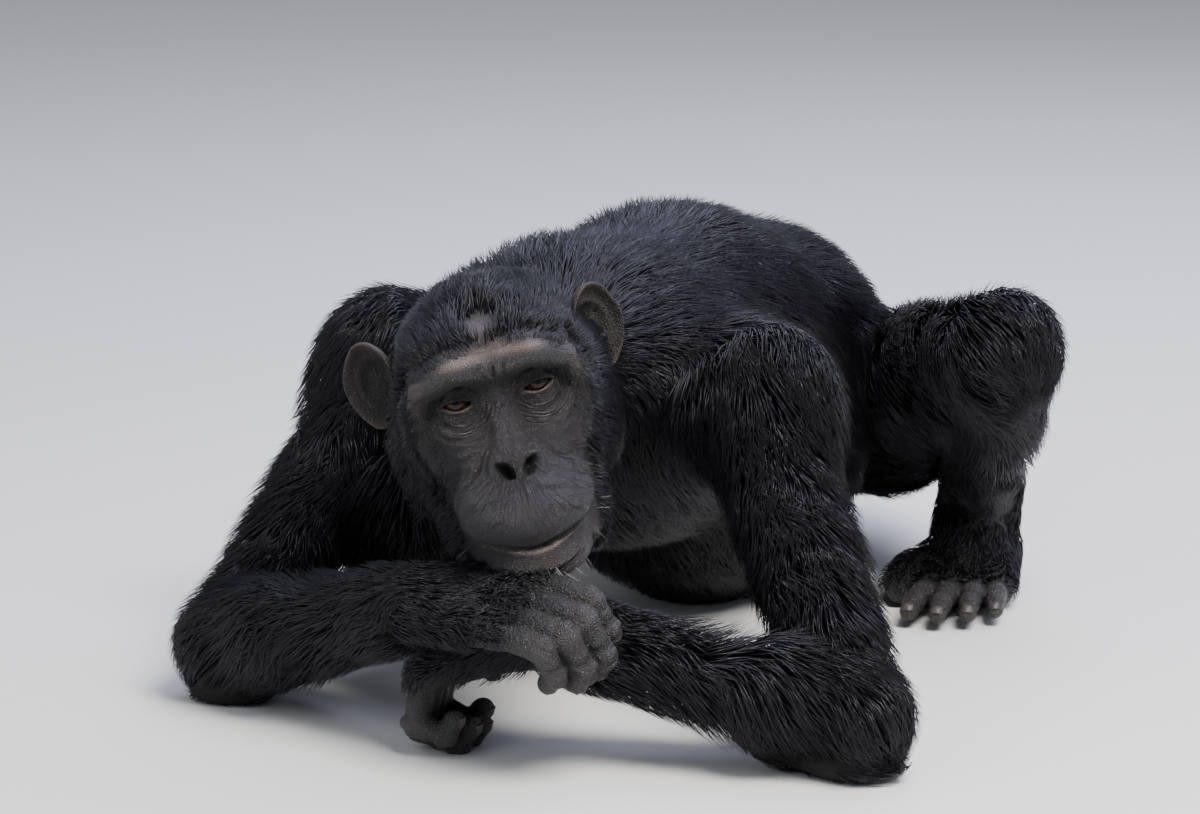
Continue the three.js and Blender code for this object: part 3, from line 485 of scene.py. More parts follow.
def tube(rings, closed=True):
    """Points and faces of a tube through rings of equally many points, closed by a fan at either end."""
    rings = np.asarray(rings, dtype=np.float64)
    count, around = rings.shape[:2]
    points = rings.reshape(-1, 3)
    i = np.arange(around)
    j = (i + 1) % around
    last = (count - 1) * around
    faces = [np.concatenate([np.stack([k + i, k + j, k + around + j, k + around + i], 1)
                             for k in range(0, last, around)])]
    for start, first, second in ((0, j, i), (last, i, j)) if closed else ():
        middle = np.full(around, len(points))
        points = np.vstack([points, points[start:start + around].mean(0)])
        faces.append(np.stack([start + first, start + second, middle], 1))
    return points, faces


def joined(parts):
    """Several (points, faces) as one."""
    points, quads, tris, start = [], [np.zeros((0, 4), int)], [np.zeros((0, 3), int)], 0
    for part, faces in parts:
        points.append(part)
        for face in faces:
            (quads if face.shape[1] == 4 else tris).append(face + start)
        start += len(part)
    return np.concatenate(points), [np.concatenate(quads), np.concatenate(tris)]


# %% [markdown]
# Hardly any of the skin of the body shows through the hair, so a coarse net is fine enough. It lies the
# coat's depth under the outline.

# %% The skin of the body
def body_skin(p):
    return body(p) + coat(p)


body_axes = (even(-330, 390, 8), even(-325, 575, 8), even(-4, 402, 7))
body_points, body_faces = net(body_skin, body_axes)
body_points = drawn_on(body_skin, body_points)
body_points[:, 2] = np.maximum(body_points[:, 2], 0)
body_faces = outward(body_points, [body_faces])
print("body skin", len(body_points))


# %% [markdown]
# The head's skin is a finer net, finest over the face. The lids are two swellings round the eyes. Faces
# inside the opening of each eye are left out, and rings of skin on the ball of the eye close it.

# %% The skin of the head
LIDS = (16.5, 14.3, 14.3)


def face_shape(q):
    """The head with bags under the eyes, filled hollows beside the nose, its wings and tip, and the lids."""
    m = (np.abs(q[0]), q[1], q[2])
    with_bags = melt(head_shape(q), egg(m, (33, 70, 2), (20, 17.5, 15)), 12)
    nose = melt(egg(m, (10, 107, -20), (9.5, 10, 8.5)), egg(q, (0, 111, -17), (9, 10, 9)), 3)
    filled = melt(with_bags, egg(m, (25, 79, -15), (17, 15.5, 18)), 12)
    return melt(melt(filled, nose, 4), egg(m, EYE, LIDS), 5)


def head_skin(p):
    """The head and the root of the neck, with the coat's depth taken off."""
    return melt(torso(p), face_shape(to_head(*p)), 30) + coat(p)


def of_head(x, y, z):
    """Head coordinates to the pose frame, as arrays."""
    left, front, up = (axis.astype(np.float32) for axis in HEAD_AXES)
    return tuple(np.float32(HEAD[i]) + x * left[i] + y * front[i] + z * up[i] for i in range(3))


def head_field(q):
    return head_skin(of_head(*q))


# the net is finest over the face, and its outer edges stay where the grid ends
fine = 1.5
head_axes = (
    np.unique(np.concatenate([even(-105, -69, 5), even(-69, 69, fine), even(69, 105, 5)])),
    np.unique(np.concatenate([even(-105, 28, 6), even(28, 148, fine)])),
    np.unique(np.concatenate([even(-150, -122, 5), even(-122, 66, fine), even(66, 118, 5)])),
)
head_points, head_faces = net(head_field, head_axes)
inner = (np.abs(head_points[:, 0]) < 103) & (head_points[:, 1] > -103) & (head_points[:, 2] > -148)
head_points[inner] = drawn_on(head_field, head_points[inner])
head_faces = outward(head_points, [head_faces])
print("head skin", len(head_points))


def almond(t, scale):
    """The opening of the lids seen from the front, as x and z from the eye's centre at angle t: a slanting
    oval with pointed corners, lower below than above."""
    x = 10.6 * np.cos(t)
    z = np.where(np.sin(t) > 0, 4.1, 3.9) * np.sin(t) * (1 - 0.3 * np.cos(t) ** 2) + 0.9 * np.cos(t)
    return x * scale, z * scale


def inside_lids(q, scale):
    """Whether points in head coordinates lie inside the opening of an eye, scaled."""
    x, z = np.abs(q[:, 0]) - EYE[0], q[:, 2] - EYE[2]
    edge = np.stack(almond(np.linspace(0, 2 * np.pi, 256, endpoint=False), scale), 1)
    way = np.arctan2(edge[:, 1], edge[:, 0])
    order = np.argsort(way)
    limit = np.interp(np.arctan2(z, x), way[order], np.hypot(*edge[order].T), period=2 * np.pi)
    return (np.hypot(x, z) < limit) & (q[:, 1] > EYE[1])


EYE_HOLE = 1.22
middles = head_points[head_faces[0]].mean(1)
head_faces = [head_faces[0][~inside_lids(middles, EYE_HOLE)]]


# %% [markdown]
# Folds, lips and nostrils are pressed into the net afterwards. Each follows a few points in head
# coordinates, drawn onto the skin. Its depth falls off smoothly to either side, and a soft rim is pushed up
# beside it.

# %% Folds of the face
def on_skin(points):
    """Points in head coordinates drawn onto the head's skin."""
    return drawn_on(head_field, np.asarray(points, dtype=np.float64), times=5)


def curve(points, count):
    """A smooth line through a few points: between each two runs a cubic, whose slope at a point is half the
    step from the point before it to the one after it."""
    p = np.asarray(points, dtype=np.float64)
    p = np.vstack([2 * p[0] - p[1], p, 2 * p[-1] - p[-2]])
    t = np.linspace(0, len(p) - 3 - 1e-6, count)
    i = t.astype(int)
    f = (t - i)[:, None]
    a, b, c, d = p[i], p[i + 1], p[i + 2], p[i + 3]
    return b + 0.5 * f * (c - a + f * (2 * a - 5 * b + 4 * c - d + f * (3 * (b - c) + d - a)))


def beside(points, line):
    """Distance of points to a line of short segments, and how far along it, from 0 to 1, the nearest is."""
    best, where = np.full(len(points), 1e9), np.zeros(len(points))
    for n in range(len(line) - 1):
        ab = line[n + 1] - line[n]
        t = ((points - line[n]) @ ab / (ab @ ab)).clip(0, 1)
        gap = np.linalg.norm(points - line[n] - t[:, None] * ab, axis=1)
        nearer = gap < best
        best = np.where(nearer, gap, best)
        where = np.where(nearer, (n + t) / (len(line) - 1), where)
    return best, where


RIM_SHARE = 0.3


def pressed(points, line, depth, width):
    """How far points sink for one fold: depth times a bell of the distance over the width, less a rim at
    twice the width, fading out at both ends of the line."""
    near = np.zeros(len(points))
    low, high = line.min(0) - 4 * width, line.max(0) + 4 * width
    close = ((points > low) & (points < high)).all(1)
    gap, where = beside(points[close], line)
    fade = ease(where / 0.18) * ease((1 - where) / 0.18)
    bell = np.exp(-((gap / width) ** 2))
    ridge = np.exp(-(((gap - 2 * width) / width) ** 2))
    near[close] = depth * fade * (bell - RIM_SHARE * ridge)
    return near


FOLDS = [
    # under the eye, three bags from the inner corner outwards
    ([(16, 92, 12), (24, 88, 7), (36, 84, 6), (46, 76, 12)], 1.1, 1.5),
    ([(15, 94, 7), (24, 90, 0), (38, 84, -2), (50, 74, 7)], 1.2, 1.7),
    ([(17, 96, 0), (27, 90, -9), (41, 82, -11), (54, 70, -2)], 0.8, 1.8),
    ([(22, 96, -10), (33, 90, -18), (46, 78, -20)], 0.6, 1.9),
    # over the eye, under the brow
    ([(17, 88, 27), (25, 88, 31.5), (36, 86, 31), (46, 78, 26)], 1.5, 1.4),
    ([(19, 90, 31), (28, 92, 35), (40, 88, 34)], 0.7, 1.3),
    # from the outer corner of the eye
    ([(46, 78, 18), (52, 73, 16), (57, 68, 11)], 0.8, 1.2),
    ([(46, 78, 21), (53, 72, 22), (58, 66, 20)], 0.7, 1.2),
    # beside the nose and down the cheek
    ([(14, 104, -4), (20, 108, -12), (22, 112, -24)], 1.2, 2.0),
    ([(23, 102, -12), (32, 104, -26), (40, 98, -44), (47, 84, -62)], 1.8, 2.8),
    ([(34, 96, -22), (44, 90, -36), (51, 76, -56)], 1.1, 2.4),
    ([(50, 70, -20), (55, 60, -40), (55, 50, -64)], 1.2, 2.6),
    # on the muzzle over the lip
    ([(6, 125, -44), (14, 125, -47), (24, 120, -50), (34, 112, -56)], 0.6, 1.5),
    ([(10, 130, -56), (22, 126, -60), (36, 114, -66)], 0.5, 1.5),
    ([(30, 118, -46), (38, 108, -54), (44, 98, -66)], 0.7, 1.6),
    # round the chin
    ([(0, 122, -103), (14, 119, -102), (28, 108, -98)], 1.4, 2.4),
    ([(38, 100, -92), (42, 88, -100), (40, 76, -110)], 1.2, 2.4),
    # down the middle of the nose, and from it to the lip
    ([(0, 98, 12), (0, 104, 0), (0, 112, -12), (0, 118, -24)], 0.9, 1.3),
    ([(0, 118, -30), (0, 124, -42), (0, 130, -54)], 0.5, 1.4),
    # between and over the brows
    ([(0, 98, 34), (0, 100, 42), (0, 96, 50)], 1.2, 1.6),
    ([(7, 98, 36), (8, 99, 44), (9, 95, 51)], 0.8, 1.2),
    ([(12, 94, 55), (26, 92, 59), (42, 82, 53)], 0.7, 1.4),
    ([(0, 84, 60), (20, 82, 65), (40, 72, 60)], 0.6, 1.6),
    # across the root of the nose
    ([(-9, 96, 20), (0, 98, 18), (9, 96, 20)], 0.7, 1.2),
    ([(-10, 98, 12), (0, 101, 10), (10, 98, 12)], 0.6, 1.2),
]

MOUTH_HALF, MOUTH_HEIGHT, MOUTH_RISE = 51, -86, 13
angles = np.radians(np.linspace(-74, 74, 61))
mouth = np.stack([MOUTH_HALF * np.sin(angles), 82 + 56 * np.cos(angles),
                  MOUTH_HEIGHT + MOUTH_RISE * np.sin(angles) ** 2], 1)
mouth = on_skin(mouth)
head_normal = normals_of(head_points, head_faces)

FOLD_STRENGTH = 1.6
sunk = np.zeros(len(head_points))
for shape, depth, width in FOLDS:
    # a fold that ends on the middle line or runs across it is its own mirror image
    single = shape[-1][0] == 0 or shape[0][0] + shape[-1][0] == 0
    for side in (1,) if single else (1, -1):
        line = on_skin(curve(np.multiply(shape, (side, 1, 1)), 24))
        sunk += pressed(head_points, line, FOLD_STRENGTH * depth, width)
lip_gap, lip_along = beside(head_points, mouth)
open_lip = ease(lip_along / 0.12) * ease((1 - lip_along) / 0.12)
sunk += 4.2 * np.exp(-((lip_gap / 1.5) ** 2)) * open_lip
above_lip = head_points[:, 2] > np.interp(head_points[:, 0], mouth[:, 0], mouth[:, 2])
lip_swell = np.exp(-(((lip_gap - 4.5) / 3.4) ** 2)) * open_lip * np.where(above_lip, 1.1, 1.7)
sunk -= lip_swell

NOSTRIL = (9.2, 0, -25.5)


def nostril_pit(q):
    """1 in the middle of a nostril and 0 at its rim: a slanting oval seen from the front."""
    x, z = np.abs(q[:, 0]) - NOSTRIL[0], q[:, 2] - NOSTRIL[2]
    along = x * np.cos(0.7) + z * np.sin(0.7)
    across = z * np.cos(0.7) - x * np.sin(0.7)
    return (1 - ease(np.hypot(along / 6.6, across / 3.7) - 0.45)) * (q[:, 1] > 90)


pit = nostril_pit(head_points)
wing_way = np.hypot((np.abs(head_points[:, 0]) - 10) / 9, (head_points[:, 2] + 25) / 8)
wing = np.exp(-((wing_way - 1) / 0.3) ** 2) * (head_points[:, 1] > 96) * (np.abs(head_points[:, 0]) > 5)
sunk += 8.5 * pit - 1.8 * wing
head_points = head_points - head_normal * sunk[:, None]


# %% [markdown]
# The lids. Eight rings run round each opening. The first hides in the eye, two make the wet edge, and the
# rest climb over the swelling of the lid and dive just under the skin of the face.

# %% Lids and eyes
def front_of_skin(x, z):
    """How far forward the skin is at each x and z in head coordinates: halving the span between the eye's
    centre and a place well in front, 20 times."""
    low, high = np.full(len(x), EYE[1] - 2.0), np.full(len(x), 112.0)
    for _ in range(20):
        middle = (low + high) / 2
        out = head_field((x.astype(np.float32), middle.astype(np.float32), z.astype(np.float32))) > 0
        low, high = np.where(out, low, middle), np.where(out, middle, high)
    return (low + high) / 2


# each ring's scale of the opening, its ball's radius, its share of the way out to the skin, and its lift
LID_RINGS = (
    (0.9, 11.0, 0, 0), (1, 12.05, 0, 0), (1.05, 12.5, 0.22, 0.1), (1.12, 12.6, 0.6, 0.5),
    (1.22, 12.6, 0.9, 0.75), (1.36, 12.6, 1, 0.7), (1.52, 12.6, 1, 0.3), (1.75, 12.6, 1, -0.9),
)
LID_ANGLES = np.linspace(0, 2 * np.pi, 72, endpoint=False)


def lid(side):
    """The rings of one eye's lids: each on a ball about the eye, moved its share to the skin, and lifted."""
    rings = []
    for scale, radius, share, lift in LID_RINGS:
        x, z = almond(LID_ANGLES, scale)
        ball = EYE[1] + np.sqrt(np.maximum(radius ** 2 - x ** 2 - z ** 2, 9))
        skin = front_of_skin(EYE[0] + x, EYE[2] + z)
        rings.append(np.stack([EYE[0] + x, ball + (skin - ball) * share + lift, EYE[2] + z], 1))
    return np.asarray(rings) * (side, 1, 1)


def lid_mesh(side):
    points, faces = tube(lid(side), closed=False)
    return points, faces if side > 0 else [face[:, ::-1] for face in faces]


lid_points, lid_faces = joined([lid_mesh(1), lid_mesh(-1)])
CAMERA_WAY = way_from(CAMERA_AZIMUTH, CAMERA_ELEVATION)
gaze = unit([CAMERA_WAY @ axis for axis in HEAD_AXES])


def eyeball(side):
    """A ball whose pole looks along the gaze, with the clear front standing out over the iris: a radius of
    11.65 and a bulge of 0.8 that falls off over 0.5 radians. Returns points, faces, angle from the pole,
    and angle round it."""
    look = unit(gaze + vec(0.03 * side, 0, -0.02))
    right = unit(np.cross(look, (0, 0, 1)))
    up = np.cross(right, look)
    tilt = np.concatenate([np.linspace(0.02, 0.7, 24), np.linspace(0.75, np.pi - 0.05, 24)])
    way = np.linspace(0, 2 * np.pi, 64, endpoint=False)
    a, b = np.meshgrid(tilt, way, indexing="ij")
    aside = np.cos(b)[..., None] * right + np.sin(b)[..., None] * up
    ball = np.cos(a)[..., None] * look + np.sin(a)[..., None] * aside
    radius = EYE_R - 0.35 + 0.8 * np.exp(-((a / 0.5) ** 4))
    points, faces = tube(ball * radius[..., None] + vec(side * EYE[0], EYE[1], EYE[2]))
    return points, outward(points, faces), np.r_[a.ravel(), 0, np.pi], np.r_[b.ravel(), 0, 0]


# %% [markdown]
# Materials are written as sums. A wire can be added to, multiplied and bounded like a number, and one
# method makes every other node.

# %% Shader wires
class Wire:
    """A shader socket that does arithmetic."""

    def __init__(self, look, socket):
        self.look, self.socket = look, socket

    def maths(self, operation, *others, swapped=False):
        terms = (*others, self) if swapped else (self, *others)
        return self.look.node("ShaderNodeMath", {"operation": operation}, dict(enumerate(terms)))

    def __add__(self, other):
        return self.maths("ADD", other)

    def __sub__(self, other):
        return self.maths("SUBTRACT", other)

    def __rsub__(self, other):
        return self.maths("SUBTRACT", other, swapped=True)

    def __mul__(self, other):
        return self.maths("MULTIPLY", other)

    def over(self, low, high):
        """0 at low, 1 at high, smooth between."""
        settings = {"interpolation_type": "SMOOTHSTEP"}
        return self.look.node("ShaderNodeMapRange", settings, {0: self, 1: low, 2: high})


class Look:
    """One material, with a Principled shader at its end."""

    def __init__(self, name, **uniform):
        self.material = bpy.data.materials.new(name)
        self.material.use_nodes = True
        self.tree = self.material.node_tree
        self.shader = self.tree.nodes["Principled BSDF"]
        for key, value in uniform.items():
            self.shader.inputs[key.replace("_", " ")].default_value = value

    def node(self, kind, settings=None, inputs=None, output=0):
        """A node of that type with its settings and inputs; the wire from the output named."""
        made = self.tree.nodes.new(kind)
        for key, value in (settings or {}).items():
            setattr(made, key, value)
        for key, value in (inputs or {}).items():
            if isinstance(value, Wire):
                self.tree.links.new(value.socket, made.inputs[key])
            else:
                made.inputs[key].default_value = value
        return Wire(self, made.outputs[output])

    def put(self, key, wire):
        self.tree.links.new(wire.socket, self.shader.inputs[key])

    def number(self, name):
        return self.node("ShaderNodeAttribute", {"attribute_name": name}, output="Fac")

    def paint(self):
        return self.node("ShaderNodeAttribute", {"attribute_name": "paint"}, output="Color")

    def here(self, stretch=(1, 1, 1)):
        """The piece's own coordinates, in metres, stretched."""
        place = self.node("ShaderNodeTexCoord", output="Object")
        return self.node("ShaderNodeMapping", {"vector_type": "POINT"}, {0: place, 3: stretch})

    def noise(self, scale, detail=4.0, stretch=(1, 1, 1)):
        inputs = {"Vector": self.here(stretch), "Scale": scale, "Detail": detail, "Roughness": 0.55}
        return self.node("ShaderNodeTexNoise", None, inputs)

    def cracks(self, scale, stretch=(1, 1, 1)):
        """Distance to the edges of scattered cells: 0 in the cracks of a leathery skin."""
        inputs = {"Vector": self.here(stretch), "Scale": scale}
        return self.node("ShaderNodeTexVoronoi", {"feature": "DISTANCE_TO_EDGE"}, inputs)

    def mix(self, share, a, b, blend="MIX"):
        a, b = (tuple(c) + (1,) if isinstance(c, tuple) and len(c) == 3 else c for c in (a, b))
        settings = {"data_type": "RGBA", "blend_type": blend}
        return self.node("ShaderNodeMix", settings, {0: share, 6: a, 7: b}, 2)

    def bump(self, height, distance, strength):
        inputs = {"Height": height, "Distance": distance, "Strength": strength}
        self.put("Normal", self.node("ShaderNodeBump", None, inputs))


def hair_look(name, dark, bright, tip):
    """Hair: each tuft has its own tone, is darkest at the root, and nears the tip's colour at its end."""
    look = Look(name, Specular_IOR_Level=0.36)
    tone, along = look.number("tone"), look.number("along")
    colour = look.mix(tone, dark, bright)
    colour = look.mix(along.over(0.35, 1.0) * 0.55, colour, tip)
    look.put("Base Color", colour)
    look.put("Roughness", tone * 0.16 + 0.36)
    return look.material


def skin_look(name, fold, grain, rough, wrinkled=False):
    """Bare skin: painted colours broken up by noise, painted shade darkening its fine cracks, the cracks and
    pores as bump, and a soft uneven gloss. A wrinkled skin also has rings round the eyes and creases that fan
    out from the nose."""
    look = Look(name, Specular_IOR_Level=0.5, Subsurface_Weight=0.03, Subsurface_Scale=0.003)
    cloud, speck = look.noise(55, 5), look.noise(420, 3)
    cells, fine = look.cracks(grain, fold), look.cracks(grain * 2.3)
    shade = look.mix(cloud.over(0.35, 0.7) * 0.5, look.paint(), (0.5, 0.47, 0.46), "MULTIPLY")
    shade = look.mix(speck.over(0.5, 0.75) * 0.25, shade, (0.09, 0.074, 0.068))
    # painted shade: the cracks of the skin are drawn darker
    shade = look.mix((1 - cells.over(0.0, 0.16)) * 0.35, shade, (0.008, 0.0065, 0.0065))
    look.put("Base Color", shade)
    look.put("Roughness", cloud * 0.22 + (rough - 0.1))
    height = cells.over(0.0, 0.28) * 0.7 + fine.over(0.0, 0.3) * 0.3 + speck * 0.35
    if wrinkled:
        rings = (look.number("eye_ring") * 2.3 + look.noise(90, 3) * 7.0).maths("SINE")
        where = look.node("ShaderNodeCombineXYZ", None, {0: look.number("fan"), 1: look.number("reach")})
        fan = look.node("ShaderNodeTexNoise", None, {"Vector": where, "Scale": 1.0, "Detail": 3.0})
        height = height + rings * look.number("under_eye") * 0.55
        height = height + fan.over(0.40, 0.60) * look.number("muzzle") * 2.0
    look.bump(height, 0.0010, 1.0)
    return look.material


def eye_look():
    """An eye: black pupil, brown streaked iris with a dark rim, dark brown white, and a wet gloss."""
    look = Look("eye_wet", Roughness=0.06, Specular_IOR_Level=0.22)
    out, around = look.number("from_pupil"), look.number("around")
    where = look.node("ShaderNodeCombineXYZ", None, {0: around * 7.0, 1: out * 2.0})
    inputs = {"Vector": where, "Scale": 3.0, "Detail": 4.0}
    streak = look.node("ShaderNodeTexNoise", {"noise_dimensions": "2D"}, inputs)
    iris = look.mix(streak.over(0.35, 0.65), (0.008, 0.0036, 0.0019), (0.024, 0.0100, 0.0044))
    iris = look.mix(out.over(0.42, 0.54), iris, (0.012, 0.005, 0.003))
    white = look.mix(look.noise(260, 4).over(0.4, 0.7), (0.010, 0.0062, 0.0052), (0.026, 0.016, 0.0135))
    colour = look.mix(out.over(0.50, 0.62), iris, white)
    look.put("Base Color", look.mix(1 - out.over(0.17, 0.215), colour, (0.001, 0.001, 0.001)))
    return look.material


def nail_look():
    """Horn: dark brown, streaked along the nail, with a soft gloss."""
    look = Look("nail_horn", Roughness=0.42, Specular_IOR_Level=0.35)
    streak = look.noise(150, 4, stretch=(3, 3, 0.6))
    look.put("Base Color", look.mix(streak.over(0.3, 0.7), (0.030, 0.025, 0.022), (0.075, 0.062, 0.054)))
    look.bump(streak, 0.0002, 0.6)
    return look.material


def flesh_look():
    """The skin under the coat: dark, dull, hardly seen."""
    look = Look("skin_under_coat", Roughness=0.8, Specular_IOR_Level=0.2)
    look.put("Base Color", look.mix(look.noise(40), (0.006, 0.0055, 0.006), (0.014, 0.012, 0.012)))
    return look.material


COAT_HAIR = hair_look("coat_hair", (0.0022, 0.0020, 0.0028), (0.0075, 0.0066, 0.0105), (0.011, 0.0098, 0.016))
PALE_HAIR = hair_look("pale_hair", (0.06, 0.055, 0.05), (0.26, 0.24, 0.22), (0.36, 0.34, 0.31))
FACE = skin_look("face_skin", (1, 1, 1.5), 480, 0.31, True)
HAND = skin_look("hand_skin", (1, 1, 1), 400, 0.42)
EAR = skin_look("ear_skin", (1, 1, 1), 460, 0.5)
EYE_LOOK, NAIL, FLESH = eye_look(), nail_look(), flesh_look()


# %% [markdown]
# A hand starts from its wrist and its knuckle line. Every finger bends at each joint towards the palm. The
# bones are joined with small fillets, and the joints are a little thicker than the bones between them.

# %% Hands
FINGERS = (
    (-29, (44, 28, 17), (12, 10.8, 9.8, 7.6)),
    (-10, (50, 33, 18), (12.5, 11.2, 10.2, 8)),
    (10, (48, 31, 18), (12.2, 11, 10, 7.8)),
    (28, (39, 24, 15), (11, 10, 9, 7)),
)
TOES = (
    (-24, (36, 24, 16), (11.5, 10, 9, 7)),
    (-5, (40, 27, 17), (11.5, 10, 9, 7)),
    (13, (38, 25, 16), (11, 9.6, 8.6, 6.8)),
    (30, (32, 20, 14), (10.5, 9, 8, 6.2)),
)


class Digit:
    """A finger or toe: its joints, its radii, and for each bone its way and the way its back faces."""

    def __init__(self, root, along, palm, bones, bends, radii):
        angle = np.cumsum(np.radians(bends))
        along, palm = unit(along), unit(palm)
        self.ways = [along * np.cos(a) + palm * np.sin(a) for a in angle]
        self.backs = [along * np.sin(a) - palm * np.cos(a) for a in angle]
        self.joints = [np.asarray(root, dtype=float)]
        for way, length in zip(self.ways, bones):
            self.joints.append(self.joints[-1] + way * length)
        self.radii = radii

    def distance(self, p):
        """Every bone is two rods that narrow to a waist, and the bones are joined with a fillet of 3 mm."""
        whole = None
        for n, (a, b) in enumerate(zip(self.joints, self.joints[1:])):
            ra, rb = self.radii[n], self.radii[n + 1]
            middle = (a + b) / 2
            waist = (ra + rb) / 2 * 0.94
            part = melt(rod(p, a, middle, ra, waist), rod(p, middle, b, waist, rb), 2)
            whole = part if whole is None else melt(whole, part, 3)
        tip = self.joints[-1] - self.ways[-1] * 2 + self.backs[-1] * -1.2
        return melt(whole, egg(p, tip, (self.radii[-1] * 1.04,) * 3), 3)


def hand_parts(elbow, wrist, knuckles, back, thumb_side, bends):
    """The rods of the palm and wrist, and the digits, of one hand."""
    wrist, knuckles = vec(*wrist), vec(*knuckles)
    along = unit(knuckles - wrist)
    out = unit(vec(*back) - along * (along @ vec(*back)))
    across = unit(np.cross(along, out)) * thumb_side
    rods = [(wrist - unit(wrist - vec(*elbow)) * 30, wrist, 25, 27), (wrist, wrist + along * 20, 27, 22)]
    digits = []
    for n, (w, bones, radii) in enumerate(FINGERS):
        knuckle = knuckles + across * w
        rods.append((wrist + across * w * 0.45 + along * 4, knuckle, 19, radii[0] + 1.2))
        bent = [bends[0], bends[1] + 2 * n, bends[2] + 2 * n]
        digits.append(Digit(knuckle, along, -out, bones, bent, radii))
    thumb_root, thumb_way = wrist - across * 24 + along * 14, unit(along * 0.85 - across * 0.5)
    digits.append(Digit(thumb_root, thumb_way, -out, (34, 26, 18), (12, 14, 16), (14, 10, 9, 7)))
    return rods, digits


def foot_parts(side, knee, ankle):
    """The rods of shank, heel, sole and great toe, and the other toes, of one foot flat on the floor."""
    way = unit(vec(0.2 * side, -0.98, 0))
    across = unit(np.cross((0, 0, 1), way)) * side
    start = vec(ankle[0], ankle[1], 0)

    def at(forward, aside, height):
        return start + way * forward + across * aside + vec(0, 0, height)

    shank = [(vec(*between(ankle, knee, 0.25)), 33), (vec(*ankle), 31), (at(30, -2, 42), 29)]
    shank.append((at(70, -2, 28), 22))
    great = [(at(22, -22, 20), 18), (at(62, -44, 18), 15), (at(92, -52, 15), 13), (at(112, -50, 12), 9.5)]
    rods = [(a, b, ra, rb) for line in (shank, great) for (a, ra), (b, rb) in zip(line, line[1:])]
    rods.append((at(-30, 0, 25), at(10, 0, 30), 26, 27))
    digits = []
    for n, (w, bones, radii) in enumerate(TOES):
        ball = at(104 - 4 * n, w, 13.5)
        rods.append((at(-14, w * 0.3, 24), ball, 24, 14))
        digits.append(Digit(ball, way + across * w * 0.004, (0, 0, -1), bones, (-8, 10, 12), radii))
    return rods, digits


def limb_end(parts):
    """The distance to a hand or foot: rods joined with fillets of 7 mm, digits joined to them with 6 mm."""
    rods, digits = parts

    def distance(p):
        whole = melt_all(7, *[rod(p, *each) for each in rods])
        fingers = np.minimum.reduce([digit.distance(p) for digit in digits])
        return melt(whole, fingers, 6)
    return distance


def knuckle_folds(points, digits):
    """How far points sink for the creases over the joints of the digits: waves along the digit's back."""
    sunk = np.zeros(len(points))
    for digit in digits:
        for n in range(1, len(digit.joints) - 1):
            joint, way, back = digit.joints[n], unit(digit.ways[n - 1] + digit.ways[n]), digit.backs[n - 1]
            d = points - joint
            reach = digit.radii[n] * 2.1
            near = ease(1.6 - np.linalg.norm(d, axis=1) / (reach * 0.75)) * ease((d @ back) / digit.radii[n])
            sunk += 1.15 * near * np.cos((d @ way) / digit.radii[n] * 5.2 + np.sin(d[:, 2] * 0.5) * 0.5)
    return sunk


def extremity(parts, cell):
    """The skin of one hand or foot as points and faces, nowhere below the floor."""
    rods, digits = parts
    field = limb_end(parts)
    ends = np.array([p for r in rods for p in r[:2]] + [j for d in digits for j in d.joints])
    low, high = ends.min(0) - 36, ends.max(0) + 36
    low[2] = max(low[2], -2)
    points, faces = net(field, [even(low[i], high[i], cell) for i in range(3)])
    points = drawn_on(field, points)
    faces = outward(points, [faces])
    points = points - normals_of(points, faces) * knuckle_folds(points, digits)[:, None]
    points[:, 2] = np.maximum(points[:, 2], 0)
    return points, faces


HANDS = {
    "left": hand_parts(ELBOW_L, WRIST_L, (8, -246, 64), (-0.3, -0.1, 1), -1, (58, 78, 70)),
    "right": hand_parts(ELBOW_R, WRIST_R, (94, -284, 126), (0.05, -0.5, 0.9), 1, (24, 62, 46)),
}
FEET = {
    "left": foot_parts(1, KNEE_L, ANKLE_L),
    "right": foot_parts(-1, KNEE_R, ANKLE_R),
}


# %% [markdown]
# A nail is a thin plate bent round the end of the finger, domed along and across, its root sunk in skin.

# %% Nails
NAIL_ALONG, NAIL_ACROSS = 11, 13


def nail(digit):
    """A plate on the back of the last bone, bent by up to 52 degrees either way and 1.75 radii long."""
    tip, way, back, r = digit.joints[-1], digit.ways[-1], digit.backs[-1], digit.radii[-1]
    side = np.cross(way, back)
    a, b = np.meshgrid(np.linspace(0, 1, NAIL_ALONG), np.linspace(-1, 1, NAIL_ACROSS), indexing="ij")
    angle = b * np.radians(52) * np.sqrt(np.clip(1 - (0.55 * (a - 0.35)) ** 2 * 2, 0, 1))
    along = (a - 0.42) * 1.75 * r - 0.28 * r * b * b * np.where(a > 0.5, 1, -0.4)
    sunk_root, bent_tip = 0.2 * r * (1 - ease(a / 0.22)), 0.30 * r * ease((a - 0.55) / 0.45)
    lift = r * (1.04 + 0.05 * np.sin(a * np.pi)) - sunk_root - bent_tip
    sheet = (tip + way * (along[..., None] - 0.1 * r) + back * (np.cos(angle) * lift)[..., None]
             + side * (np.sin(angle) * r * 1.02)[..., None])
    points = np.vstack([sheet.reshape(-1, 3), (sheet - back * 0.9).reshape(-1, 3)])
    count = NAIL_ALONG * NAIL_ACROSS
    n = np.arange(count).reshape(NAIL_ALONG, NAIL_ACROSS)
    top = np.stack([n[:-1, :-1], n[:-1, 1:], n[1:, 1:], n[1:, :-1]], -1).reshape(-1, 4)
    edge = np.concatenate([n[0], n[1:, -1], n[-1, -2::-1], n[-2:0:-1, 0]])
    after = np.roll(edge, -1)
    wall = np.stack([edge, after, after + count, edge + count], 1)
    return points, [np.concatenate([top, (top + count)[:, ::-1], wall[:, ::-1]])]


# %% [markdown]
# The ears are bowls with a rolled edge. A ring profile runs from the middle of the bowl out to the rim and
# back behind it; a ridge, a hollow and a flap inside it vary
# with the angle.

# %% Ears
EAR_ROOT = (74, -8, 28)
